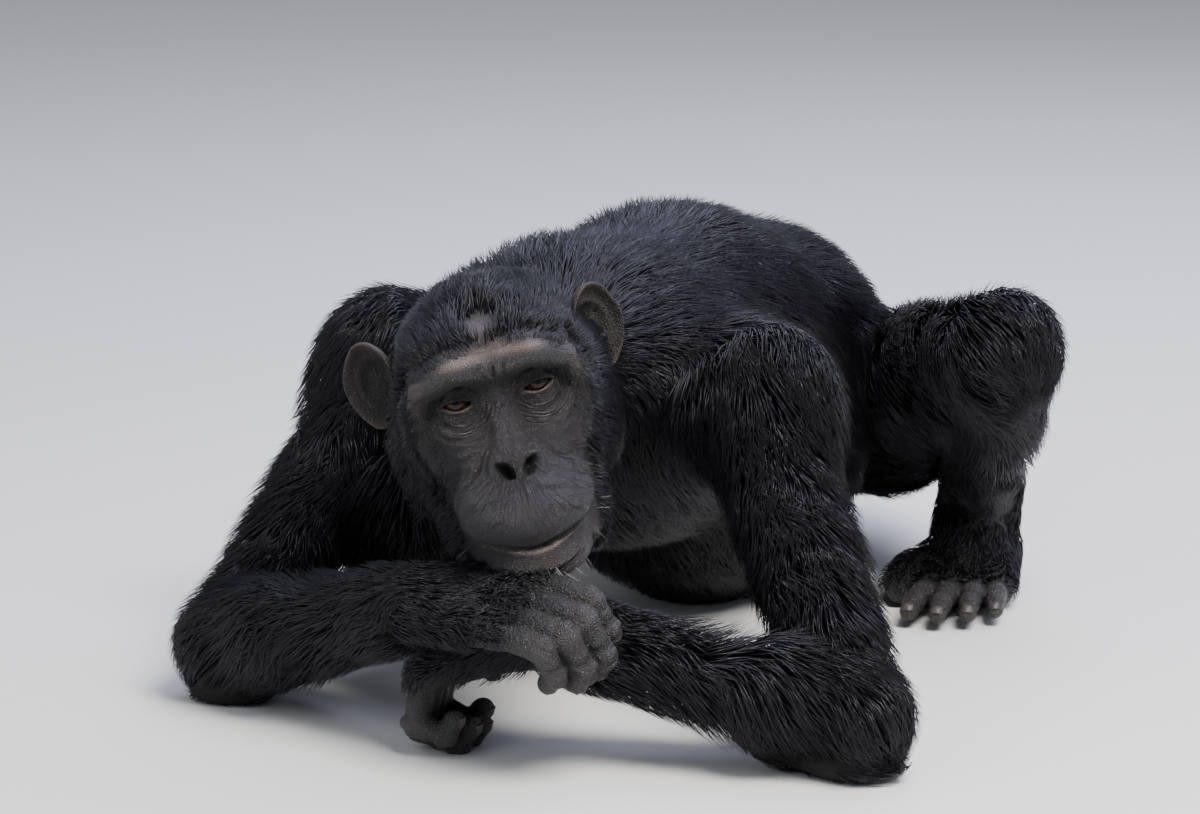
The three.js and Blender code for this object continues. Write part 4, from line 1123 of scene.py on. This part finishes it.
# each ring's share of the ear's reach and its lift in mm, from inside the bowl over the rim to the back
EAR_FRONT = [(r, -7 + 1.0 * r) for r in np.linspace(0.04, 0.6, 12)]
EAR_FRONT += [(0.66, -5.6), (0.72, -4.2), (0.78, -2.2), (0.84, 0.3), (0.89, 2.8), (0.93, 4.4), (0.965, 5.1)]
EAR_BACK = [(0.99, 4.9), (1.0, 3.8), (0.995, 2.2), (0.975, 0.2), (0.93, -2.2), (0.86, -4.8), (0.75, -7.6)]
EAR_BACK += [(0.6, -9.8), (0.4, -11.2), (0.2, -11.7), (0.05, -11.8)]


def ear(side):
    """The rings carried round an oval, each lifted towards the front by its own height and by bells of its
    share and angle for the ridge, the bowl and the flap."""
    out, face = unit(vec(0.84, -0.54, 0.05)), unit(vec(0.54, 0.84, 0))
    up = -np.cross(face, out)
    turn = np.linspace(0, 2 * np.pi, 120, endpoint=False)
    rings = []
    for n, (r, lift) in enumerate(EAR_FRONT + EAR_BACK):
        inside = n < len(EAR_FRONT)
        ridge = 5.5 * np.exp(-(((r - 0.62) / 0.12) ** 2)) * ease((np.cos(turn - 0.4) + 0.55) / 0.9)
        bowl = -4.2 * np.exp(-(((r - 0.36) / 0.2) ** 2)) * ease((0.6 - np.cos(turn)) / 1.2)
        flap = 4.5 * np.exp(-(((r - 0.55) / 0.22) ** 2)) * np.exp(-(((turn - np.pi) / 0.45) ** 2))
        uneven = 0.5 * np.sin(3 * turn + 1) * r + 0.35 * np.sin(7 * turn) * r
        height = lift + (ridge + bowl + flap if inside else 0) + uneven
        reach = np.where(np.cos(turn) > 0, 24, 21)
        tall = 36 * np.where(np.sin(turn) > 0, 1, 0.9)
        edge = 1 + 0.015 * np.sin(5 * turn + 2) * (r > 0.7)
        s = 14 + (reach * r * np.cos(turn) - 3 * r * np.maximum(0, -np.sin(turn))) * edge
        t = tall * r * np.sin(turn) * edge
        spot = vec(*EAR_ROOT) + s[:, None] * out + t[:, None] * up + height[:, None] * face
        rings.append(from_head(spot * (side, 1, 1)))
    points, faces = tube(rings)
    return points, outward(points, faces)


# %% [markdown]
# Colours of the bare skin are painted point by point from where they are on the face: dark grey-violet all
# over, tan on the brow with a painted highlight on its top edge, a pale bald spot over it, darker nose, paler
# lip edges. Painted shade lies under the brow, round the eyes, in the folds, the nostrils and the line of the
# mouth, and a painted sheen lies on the bridge of the nose and the upper lip.

# %% Painting the bare skin
def blended(colour, share, towards):
    """The colours moved by the share towards another."""
    return colour + (np.asarray(towards) - colour) * np.clip(share, 0, 1)[:, None]


def spot(q, centre, radii):
    """A soft spot: the bell of the scaled distance from its centre, the same on both sides of the face."""
    d = (np.c_[np.abs(q[:, 0]), q[:, 1], q[:, 2]] - centre) / radii
    return np.exp(-(d ** 2).sum(1))


# the share, centre, radii and colour of each spot, painted one over the other
FACE_SPOTS = (
    # over the brow, the bald spot, the tan brow drawn paler along its top edge as a painted highlight, and
    # its outer ends
    (0.8, (0, 96, 66), (30, 60, 8), (0.040, 0.032, 0.031)),
    (1.0, (0, 88, 77), (15, 40, 10), (0.36, 0.32, 0.33)),
    (0.9, (30, 92, 56), (38, 30, 4.0), (0.20, 0.145, 0.115)),
    (0.6, (62, 62, 34), (6, 30, 18), (0.10, 0.072, 0.056)),
    # painted shade under the brow, a painted sheen on the bridge of the nose, and the skin under the eyes
    (0.8, (24, 80, 33), (30, 20, 7), (0.006, 0.0046, 0.0045)),
    (0.6, (0, 106, 0), (9, 30, 18), (0.055, 0.048, 0.060)),
    (0.7, (40, 84, 2), (24, 30, 12), (0.024, 0.019, 0.020)),
    # the darker nose, a painted sheen on the upper lip, painted shade round the eyes in their sockets, and
    # the chin
    (0.8, (0, 112, -22), (15, 20, 12), (0.012, 0.0095, 0.0105)),
    (0.6, (0, 130, -52), (30, 40, 15), (0.044, 0.038, 0.048)),
    (0.8, (30, 72, 21), (19, 30, 14), (0.010, 0.0075, 0.0074)),
    (0.6, (0, 112, -100), (34, 40, 12), (0.070, 0.056, 0.051)),
)


def paint_face(q, line_gap=None):
    """The spots over the base colour and, where the gap to the mouth is given, the lip's pale edge and
    painted shade along the mouth's line.
    """
    colour = np.tile([0.014, 0.0112, 0.0128], (len(q), 1))
    for share, centre, radii, towards in FACE_SPOTS:
        colour = blended(colour, share * spot(q, centre, radii), towards)
    if line_gap is not None:
        across = np.clip(q[:, 0], -MOUTH_HALF, MOUTH_HALF) / MOUTH_HALF
        lower = q[:, 2] < MOUTH_HEIGHT + MOUTH_RISE * across ** 2
        colour = blended(colour, 0.9 * np.exp(-(((line_gap - 3.0) / 1.6) ** 2)) * lower, (0.26, 0.20, 0.18))
        # painted shade along the line of the mouth
        colour = blended(colour, 0.95 * np.exp(-((line_gap / 1.5) ** 2)), (0.010, 0.007, 0.007))
    return colour


face_paint = paint_face(head_points, np.where(lip_along * (1 - lip_along) > 0, lip_gap, 99))
# painted shade in the folds: the deeper the skin sinks, the nearer its colour comes to a dark grey
face_paint = blended(face_paint, 0.45 * np.clip(sunk / 1.4, 0, 1), (0.018, 0.013, 0.013))
# painted shade: the nostrils are drawn nearly black
face_paint = blended(face_paint, 1.6 * pit, (0.001, 0.0008, 0.0008))
in_hair = 1 - hairless(head_points.T)
face_paint = blended(face_paint, in_hair, (0.012, 0.010, 0.0105))


def wrinkle_places(q):
    """What the wrinkles follow: the distance round the eye, a fan about the nose, and where each shows."""
    x, y, z = np.abs(q[:, 0]), q[:, 1], q[:, 2]
    ring = np.hypot((x - EYE[0]) * 0.9, z - EYE[2])
    under_eye = np.exp(-(((ring - 19) / 9) ** 2)) * ease((EYE[2] + 2 - z) / 8) * (y > 40)
    angle = np.arctan2(q[:, 0], -(z + 12))
    reach = np.hypot(q[:, 0], z + 12)
    muzzle = ease((reach - 14) / 10) * ease((66 - reach) / 14) * ease((-24 - z) / 10) * (y > 70)
    return {"eye_ring": ring, "under_eye": under_eye, "fan": angle * 16, "reach": reach * 0.05,
            "muzzle": muzzle}


piece("face", from_head(head_points), head_faces, FACE, ["head"], paint=face_paint,
      numbers=wrinkle_places(head_points))

WET_RINGS = 4
lid_paint = paint_face(lid_points)
wet = np.tile(np.repeat(np.arange(len(LID_RINGS)) < WET_RINGS, len(LID_ANGLES)), 2)
low_lid = np.tile(np.sin(LID_ANGLES) < 0.1, 2 * len(LID_RINGS))
lid_paint = blended(lid_paint, 0.9 * wet * np.where(low_lid, 1, 0.1), (0.24, 0.18, 0.16))
lid_paint = blended(lid_paint, 0.8 * wet * ~low_lid, (0.02, 0.014, 0.014))
piece("lids", from_head(lid_points), lid_faces, FACE, (), paint=lid_paint,
      numbers=wrinkle_places(lid_points))

for side, name in zip((1, -1), SIDES):
    points, faces, from_pupil, around = eyeball(side)
    piece("eyeball_" + name, from_head(points), faces, EYE_LOOK, ["eye_" + name],
          numbers={"from_pupil": from_pupil, "around": around})
    points, faces = ear(side)
    q = np.stack(to_head(*points.T), 1)
    rim = ease((np.linalg.norm(q - np.mean(q, 0), axis=1) - 24) / 8)
    ear_paint = np.tile([0.012, 0.0085, 0.0075], (len(points), 1))
    ear_paint = blended(ear_paint, 0.6 * rim, (0.060, 0.040, 0.031))
    ear_paint = blended(ear_paint, 0.5 * ease((-q[:, 1] - 22) / 14), (0.012, 0.0095, 0.009))
    piece("ear_skin_" + name, points, faces, EAR, ["ear_" + name], paint=ear_paint)


# %% [markdown]
# The skin of hands and feet is nearly black, and paler over every joint. All the nails are one piece.

# %% Hands, feet and their nails
nails = []
for group, cell, stem in ((HANDS, 1.9, "hand_"), (FEET, 2.4, "foot_")):
    for name, parts in group.items():
        points, faces = extremity(parts, cell)
        digits = parts[1]
        tone = np.zeros(len(points))
        for digit in digits:
            for n in range(1, len(digit.joints)):
                gap = np.linalg.norm(points - digit.joints[n], axis=1)
                tone = np.maximum(tone, np.exp(-((gap / (digit.radii[n] * 1.15)) ** 2)))
        colour = np.tile([0.0065, 0.0056, 0.0064], (len(points), 1))
        colour = blended(colour, 0.8 * tone, (0.055, 0.046, 0.042))
        piece(stem + "skin_" + name, points, faces, HAND, [stem + name], paint=colour)
        nails += [nail(digit) for digit in digits]
nail_points, nail_faces = joined(nails)
piece("nails", nail_points, nail_faces, NAIL, ())

FLESH_NODES = ["chest", "belly", "hips", "neck"] + both("upper_arm", "forearm", "thigh", "shin")
piece("flesh", body_points, body_faces, FLESH, FLESH_NODES)


# %% [markdown]
# The coat. Every tuft is a closed three-sided spike that starts in the skin and steps along the lie of the
# hair. At each step it is drawn to its own level between the skin and the outline, so it hugs the body and
# its tip ends near the outline. Slow waves over the body turn and lengthen whole locks, so the coat parts
# and clumps.

# %% The lie of the hair
def lie_at(p, region):
    """The way hair points at places p, before it is laid flat against the skin."""
    x, y, z = p.T
    if region == "head":
        q = np.stack(to_head(x, y, z), 1)
        low = np.clip((40 - q[:, 2]) / 60, 0, 1)[:, None]
        return (HEAD_FRONT * (-1 + 0.35 * low) - HEAD_UP * 1.1 * low
                + HEAD_LEFT * 0.35 * low * np.sign(q[:, :1]))
    if region == "neck":
        return np.tile(-HEAD_FRONT - vec(0, 0, 0.3), (len(p), 1))
    if region == "trunk":
        side = np.clip(np.abs(x) / 140, 0, 1)
        return np.stack([0.3 * side * np.sign(x), 1 - 0.25 * side, -1.15 * side], 1)
    part, name = region.split("_")
    shoulder, elbow, wrist = ARMS[name]
    hip, knee, ankle = LEGS[name]
    start, end, droop = {
        "upperarm": (shoulder, elbow, (0, 0.1, -0.15)), "forearm": (wrist, elbow, (0, 0, -0.45)),
        "thigh": (hip, knee, (0, 0, -0.5)), "shin": (knee, ankle, (0, 0.2, 0)),
    }[part]
    return np.tile(unit(np.subtract(end, start)) + droop, (len(p), 1))


REGIONS = ["head", "neck", "trunk"] + both("upperarm", "forearm", "thigh", "shin")


def region_distances(p):
    """The distance to each region's own shape, one row a region."""
    rows = [head(p), neck(p) + 6, trunk(p)]
    rows += [upper_arm(p, *ARMS[side][:2]) for side in SIDES]
    rows += [fore_arm(p, *ARMS[side][1:]) for side in SIDES]
    rows += [thigh(p, *LEGS[side][:2]) for side in SIDES]
    rows += [shin(p, *LEGS[side][1:]) for side in SIDES]
    return np.stack(rows)


def whole_skin(p):
    """The outline of the whole animal, head and all, out to the tips of the coat."""
    return melt(body(p), head(p), 30)


def lie_of(p):
    """The lies of all regions, each weighted by how near its shape is."""
    near = region_distances(xyz(p))
    weights = np.exp(-np.clip((near - near.min(0)) / 14, 0, 30))
    weights /= weights.sum(0)
    total = np.zeros_like(p)
    for n, region in enumerate(REGIONS):
        share = weights[n]
        some = share > 0.01
        total[some] += share[some, None] * unit(lie_at(p[some], region))
    return unit(total)


# %% [markdown]
# Slow waves stand in for noise: a sum of sines along scattered directions, the same on every run.

# %% Waves and roots
def waves(p, length, seed):
    """Between about -1 and 1: 14 sines of random directions and of wavelengths near the length given."""
    random, count = np.random.default_rng(seed), 14
    ways = unit(random.normal(size=(count, 3)))
    ways = ways * (2 * np.pi / (length * random.uniform(0.6, 1.7, (count, 1))))
    return np.sin(p @ ways.T + random.uniform(0, 2 * np.pi, count)).sum(1) / np.sqrt(count / 2) / 1.6


def scattered(points, faces, count, seed):
    """Places spread evenly over a surface: triangles drawn by area, then a random place in each."""
    random = np.random.default_rng(seed)
    tri = triangles(faces)
    a, b, c = (points[tri[:, i]] for i in range(3))
    area = np.linalg.norm(np.cross(b - a, c - a), axis=1) / 2
    steps = (np.arange(count) + random.uniform(0, 1, count)) / count
    chosen = np.searchsorted(np.cumsum(area) / area.sum(), steps).clip(0, len(area) - 1)
    u, v = random.uniform(0, 1, (2, count))
    u, v = np.where(u + v > 1, 1 - u, u)[:, None], np.where(u + v > 1, 1 - v, v)[:, None]
    return a[chosen] * (1 - u - v) + b[chosen] * u + c[chosen] * v


# how far along a tuft its two rings and its tip are, how wide the rings are, and how many points a tuft has
STEPS = (0.0, 0.5, 1.0)
WIDTHS = (0.9, 0.85)
TUFT_POINTS = 7


def grown(roots, field, length, width, lift, seed, veer=0.35, clump=30.0, lie=None, least=7.0):
    """The tufts' points, faces and numbers. length and width are one number for each root. lift is the
    share of the coat's depth that the tips reach, least the least depth, and veer how far, in radians, the
    waves turn the hair."""
    random = np.random.default_rng(seed)
    count = len(roots)
    outline = -field(xyz(roots))
    depth = np.maximum(outline, least)
    turned = veer * (waves(roots, clump * 1.6, seed + 1) + 0.55 * waves(roots, clump * 0.7, seed + 2)
                     + 0.30 * random.normal(size=count))
    lock = waves(roots, clump, seed + 3)
    long = length * (1 + 0.18 * lock + 0.12 * random.normal(size=count)).clip(0.5, 1.6)
    rise = (lift * (1 + 0.14 * lock + 0.10 * random.normal(size=count))).clip(0.25, 1.0)
    centres, sides, ups = [], [], []
    p, before = roots.copy(), 0.0
    for step in STEPS:
        slope = unit(slope_at(field, p))
        way = lie_of(p) if lie is None else np.tile(unit(lie), (count, 1))
        flat = unit(way - slope * (way * slope).sum(1)[:, None])
        cross = np.cross(slope, flat)
        heading = flat * np.cos(turned)[:, None] + cross * np.sin(turned)[:, None]
        p = p + heading * (long * (step - before))[:, None]
        level = depth * rise * (1 - (1 - step) ** 1.7) - outline - 1.2 * (step == 0)
        slope = slope_at(field, p)
        excess = field(xyz(p)) - level
        move = excess / np.maximum((slope ** 2).sum(1), 0.25)
        p = p - slope * np.clip(move, -12, 12)[:, None]
        p[:, 2] = np.maximum(p[:, 2], 1.2)
        centres.append(p)
        sides.append(unit(np.cross(unit(slope), heading)))
        ups.append(unit(slope))
        before = step
    spin = random.uniform(-0.5, 0.5, count)
    rings = []
    for centre, side, up, wide in zip(centres, sides, ups, WIDTHS):
        half = (width * wide / 2)[:, None]
        for turn in (0.0, 2.1, 4.2):
            a = (turn + spin)[:, None]
            rings.append(centre + side * np.sin(a) * half + up * np.cos(a) * half * 0.55)
    points = np.stack(rings + [centres[-1]], 1)
    points[..., 2] = np.maximum(points[..., 2], 0.4)
    base = (np.arange(count) * TUFT_POINTS)[:, None]
    quads = np.concatenate([base + [n, (n + 1) % 3, 3 + (n + 1) % 3, 3 + n] for n in range(3)])
    tris = np.concatenate([base + [3 + n, 3 + (n + 1) % 3, 6] for n in range(3)] + [base + [0, 2, 1]])
    tone = (0.5 + 0.26 * waves(roots, clump * 2, seed + 4) + 0.26 * random.normal(size=count)).clip(0, 1)
    along = np.tile([0, 0, 0, 0.5, 0.5, 0.5, 1], count)
    numbers = {"tone": np.repeat(tone, TUFT_POINTS), "along": along}
    return points.reshape(-1, 3), [quads, tris], numbers


# where a tuft's seven points lie in its patch of the map, and how wide the patch is
PATCH = np.array([(0, 0), (0.5, 0), (1, 0), (0, 0.6), (0.5, 0.6), (1, 0.6), (0.5, 1)])
PATCH_WIDTH = 0.003


def root_map(roots):
    """Where the roots lie on an unwrap of the skin: y along the spine by the angle round it, and for each
    tuft a small patch at its root's place."""
    angle = np.arctan2(roots[:, 0], roots[:, 2] - 120) / (2 * np.pi) + 0.5
    along = (roots[:, 1] + 330) / 910
    place = 0.002 + 0.994 * np.stack([angle, along], 1).clip(0, 1)
    return (place[:, None, :] + PATCH_WIDTH * (PATCH - 0.5)).reshape(-1, 2).clip(0, 1)


def coat_piece(name, roots, field, length, width, lift, seed, look=COAT_HAIR, **more):
    """One piece of the coat, with its texture map."""
    points, faces, numbers = grown(roots, field, length, width, lift, seed, **more)
    print(name, len(roots), "tufts")
    piece(name, points, faces, look, (), numbers=numbers, uv=root_map(roots))


BODY_ROOTS = 120000
roots = scattered(body_points, body_faces, BODY_ROOTS, 5)
roots = drawn_on(body_skin, roots, times=1)
depth = coat(xyz(roots))
away_from_head = head(xyz(roots)) > -6
bare_hands = np.minimum.reduce([limb_end(parts)(xyz(roots)) for group in (HANDS, FEET)
                                for parts in group.values()])
seen = (bare_hands > -1.5) & (roots[:, 2] > 7) & away_from_head
roots, depth = roots[seen], depth[seen]
owner = region_distances(xyz(roots)).argmin(0)
print("roots", len(roots), np.bincount(owner, minlength=len(REGIONS)))


# %% [markdown]
# The coat is split into pieces by the part of the body that the roots are nearest to.

# %% The coat of the body
LENGTHS = {"neck": 52, "trunk": 66, "upperarm": 58, "forearm": 52, "thigh": 60, "shin": 46}
WIDTH = 1.92
PIECE_TUFTS = 18000
for n, region in enumerate(REGIONS):
    if region == "head":
        continue
    mine = np.nonzero(owner == n)[0]
    mine = mine[np.argsort(roots[mine, 1], kind="stable")]
    parts = max(1, int(np.ceil(len(mine) / PIECE_TUFTS)))
    for number, some in enumerate(np.array_split(mine, parts)):
        here = roots[some]
        full = ease(depth[some] / COAT_DEPTH)
        low_chest = ease((150 - here[:, 2]) / 60) * ease((60 - here[:, 1]) / 60) * (region == "trunk")
        long = LENGTHS[region.split("_")[0]] * (1 + 0.5 * low_chest) * (0.45 + 0.55 * full)
        name = "coat_" + region + ("_" + str(number + 1) if parts > 1 else "")
        coat_piece(name, here, whole_skin, long, WIDTH * (0.6 + 0.4 * full), 0.94, 100 * n + number)


# %% [markdown]
# Short hair on the head, swept back from the brow and down the cheeks. A few sparse hairs stand on the bare
# face, pale ones on the chin, and dark ones on the backs of the hands and feet.

# %% The coat of the head, hands and feet
HEAD_ROOTS, FACE_ROOTS = 52000, 26000
head_world = from_head(head_points)
head_roots = scattered(head_world, head_faces, HEAD_ROOTS, 9)
p = xyz(head_roots)
q = to_head(*p)
short = coat(p)
chance = ease((1 - hairless(q)) / 0.7) * np.where(short > 1.5, 1, 0.75)
kept = np.random.default_rng(10).uniform(0, 1, len(short)) < chance
kept &= (head(p) <= -short + 9) & (body_skin(p) > -6) & (head_roots[:, 2] > 7)
head_roots, full = head_roots[kept], ease(short[kept] / HEAD_COAT_DEPTH)
whiskers = 26 * ease((10 - q[2][kept]) / 50)
for number, some in enumerate(np.array_split(np.argsort(head_roots[:, 1], kind="stable"), 2)):
    long, wide = 12 + (18 + whiskers[some]) * full[some], 0.8 + 0.4 * full[some]
    coat_piece("coat_head_" + str(number + 1), head_roots[some], whole_skin, long, wide, 0.92,
               900 + number, clump=18.0)

face_roots = scattered(head_world, head_faces, FACE_ROOTS, 21)
q = np.stack(to_head(*face_roots.T), 1)
random = np.random.default_rng(22)
chin = np.maximum(spot(q, (6, 112, -110), (30, 34, 13)), 0.5 * spot(q, (50, 84, -84), (12, 26, 18)))
chin = chin > random.uniform(0.25, 2.4, len(q))
cheek = (bare_face(q.T) > 0.5) & (np.abs(q[:, 0]) > 50) & (random.uniform(0, 1, len(q)) < 0.25)
chin_roots, cheek_roots = face_roots[chin & (q[:, 2] < -66)], face_roots[cheek]
coat_piece("hair_chin", chin_roots, whole_skin, np.full(len(chin_roots), 14.0), np.full(len(chin_roots), 0.6),
           0.95, 950, look=PALE_HAIR, clump=14.0, least=8.0, veer=0.6)
coat_piece("hair_cheeks", cheek_roots, whole_skin, np.full(len(cheek_roots), 9.0),
           np.full(len(cheek_roots), 0.7), 0.8, 960, clump=14.0)

for stem, group, count in (("hand_", HANDS, 12000), ("foot_", FEET, 7500)):
    for name, parts in group.items():
        rods, digits = parts
        field = limb_end(parts)
        back_roots = scattered(*extremity(parts, 4.0), count, 33)
        start = rods[0][1]
        way = digits[1].joints[0] - start
        heading = unit(way)
        out = digits[1].backs[0]
        out = unit(out - heading * (out @ heading)) if stem == "hand_" else vec(0, 0, 1)
        slope = unit(slope_at(field, back_roots))
        along = (back_roots - start) @ heading / np.linalg.norm(way)
        chance = ease((slope @ out + 0.25) / 0.5) * ease((1.2 - along) / 0.22)
        wanted = np.random.default_rng(35).uniform(0, 1, len(chance)) < chance
        wanted &= body_skin(xyz(back_roots)) > -2
        wanted &= melt_all(7, *[rod(tuple(back_roots.T), *each) for each in rods]) < 2.5
        some = back_roots[wanted]
        long = 10 + 22 * ease((1.0 - along[wanted]) / 0.8)
        coat_piece("hair_" + stem + name, some, field, long, np.full(len(some), 1.35), 0.85,
                   970 + len(stem), clump=20.0, lie=heading + (0, 0, -0.3))


# %% [markdown]
# The stage: a plain pale floor, soft lights, and a camera at the angle and distance of the picture.

# %% Floor, light and camera
def stage_look(name, colour, rough):
    look = Look(name, Roughness=rough, Specular_IOR_Level=0.2)
    look.shader.inputs["Base Color"].default_value = (*colour, 1)
    return look.material


FLOOR_HALF = 14
floor_corners = [(x * FLOOR_HALF, y * FLOOR_HALF, 0) for x, y in ((-1, -1), (1, -1), (1, 1), (-1, 1))]
floor_mesh = bpy.data.meshes.new("floor")
floor_mesh.from_pydata(floor_corners, [], [(0, 1, 2, 3)])
floor_mesh.materials.append(stage_look("floor", (0.62, 0.61, 0.59), 0.8))
floor = bpy.data.objects.new("floor", floor_mesh)
# half a millimetre below the model, so that nothing on the floor flickers
floor.location = (0, 0, -0.0005)
bpy.context.scene.collection.objects.link(floor)

world = bpy.data.worlds.new("studio")
bpy.context.scene.world = world
world.use_nodes = True
sky = world.node_tree.nodes["Background"].inputs
sky["Color"].default_value = (0.80, 0.86, 1.0, 1)
sky["Strength"].default_value = 0.45


def soft_light(name, azimuth, elevation, distance, size, power, colour):
    """A square soft light that looks at the animal from an azimuth and elevation in degrees. Distance and
    size are in metres, power in watts."""
    way = way_from(azimuth, elevation)
    data = bpy.data.lights.new(name, "AREA")
    data.energy, data.size, data.color = power, size, colour
    lamp = bpy.data.objects.new(name, data)
    lamp.location = placed(LIT_PLACE) + way * distance
    lamp.rotation_euler = aimed(-way)
    bpy.context.scene.collection.objects.link(lamp)


LIT_PLACE = (20, 0, 200)


def aimed(way):
    """The turn that makes a camera or lamp look along a way, its top up."""
    return Vector(tuple(way)).to_track_quat("-Z", "Y").to_euler()


soft_light("key", 62, 56, 3.0, 1.5, 210, (1.0, 0.98, 0.96))
soft_light("sky", 165, 55, 3.2, 3.0, 150, (0.70, 0.74, 1.0))
soft_light("fill", -30, 30, 3.2, 2.6, 40, (0.92, 0.95, 1.0))

# the camera aims at the head, moved by pixels of the picture to the right and down
CAMERA_DISTANCE, LENS, SENSOR = 3000, 120, 36
MM_PER_PIXEL = 0.75
AIM = (20, -170, 255)
PIXELS_RIGHT, PIXELS_DOWN = 105, 12
right = way_from(CAMERA_AZIMUTH + 90, 0)
upright = np.cross(CAMERA_WAY, right)
aim = vec(*AIM) + PIXELS_RIGHT * MM_PER_PIXEL * right - PIXELS_DOWN * MM_PER_PIXEL * upright
data = bpy.data.cameras.new("camera")
data.lens, data.sensor_width = LENS, SENSOR
camera = bpy.data.objects.new("camera", data)
camera.location = placed(aim + CAMERA_WAY * CAMERA_DISTANCE)
camera.rotation_euler = aimed(-CAMERA_WAY)
bpy.context.scene.collection.objects.link(camera)
bpy.context.scene.camera = camera
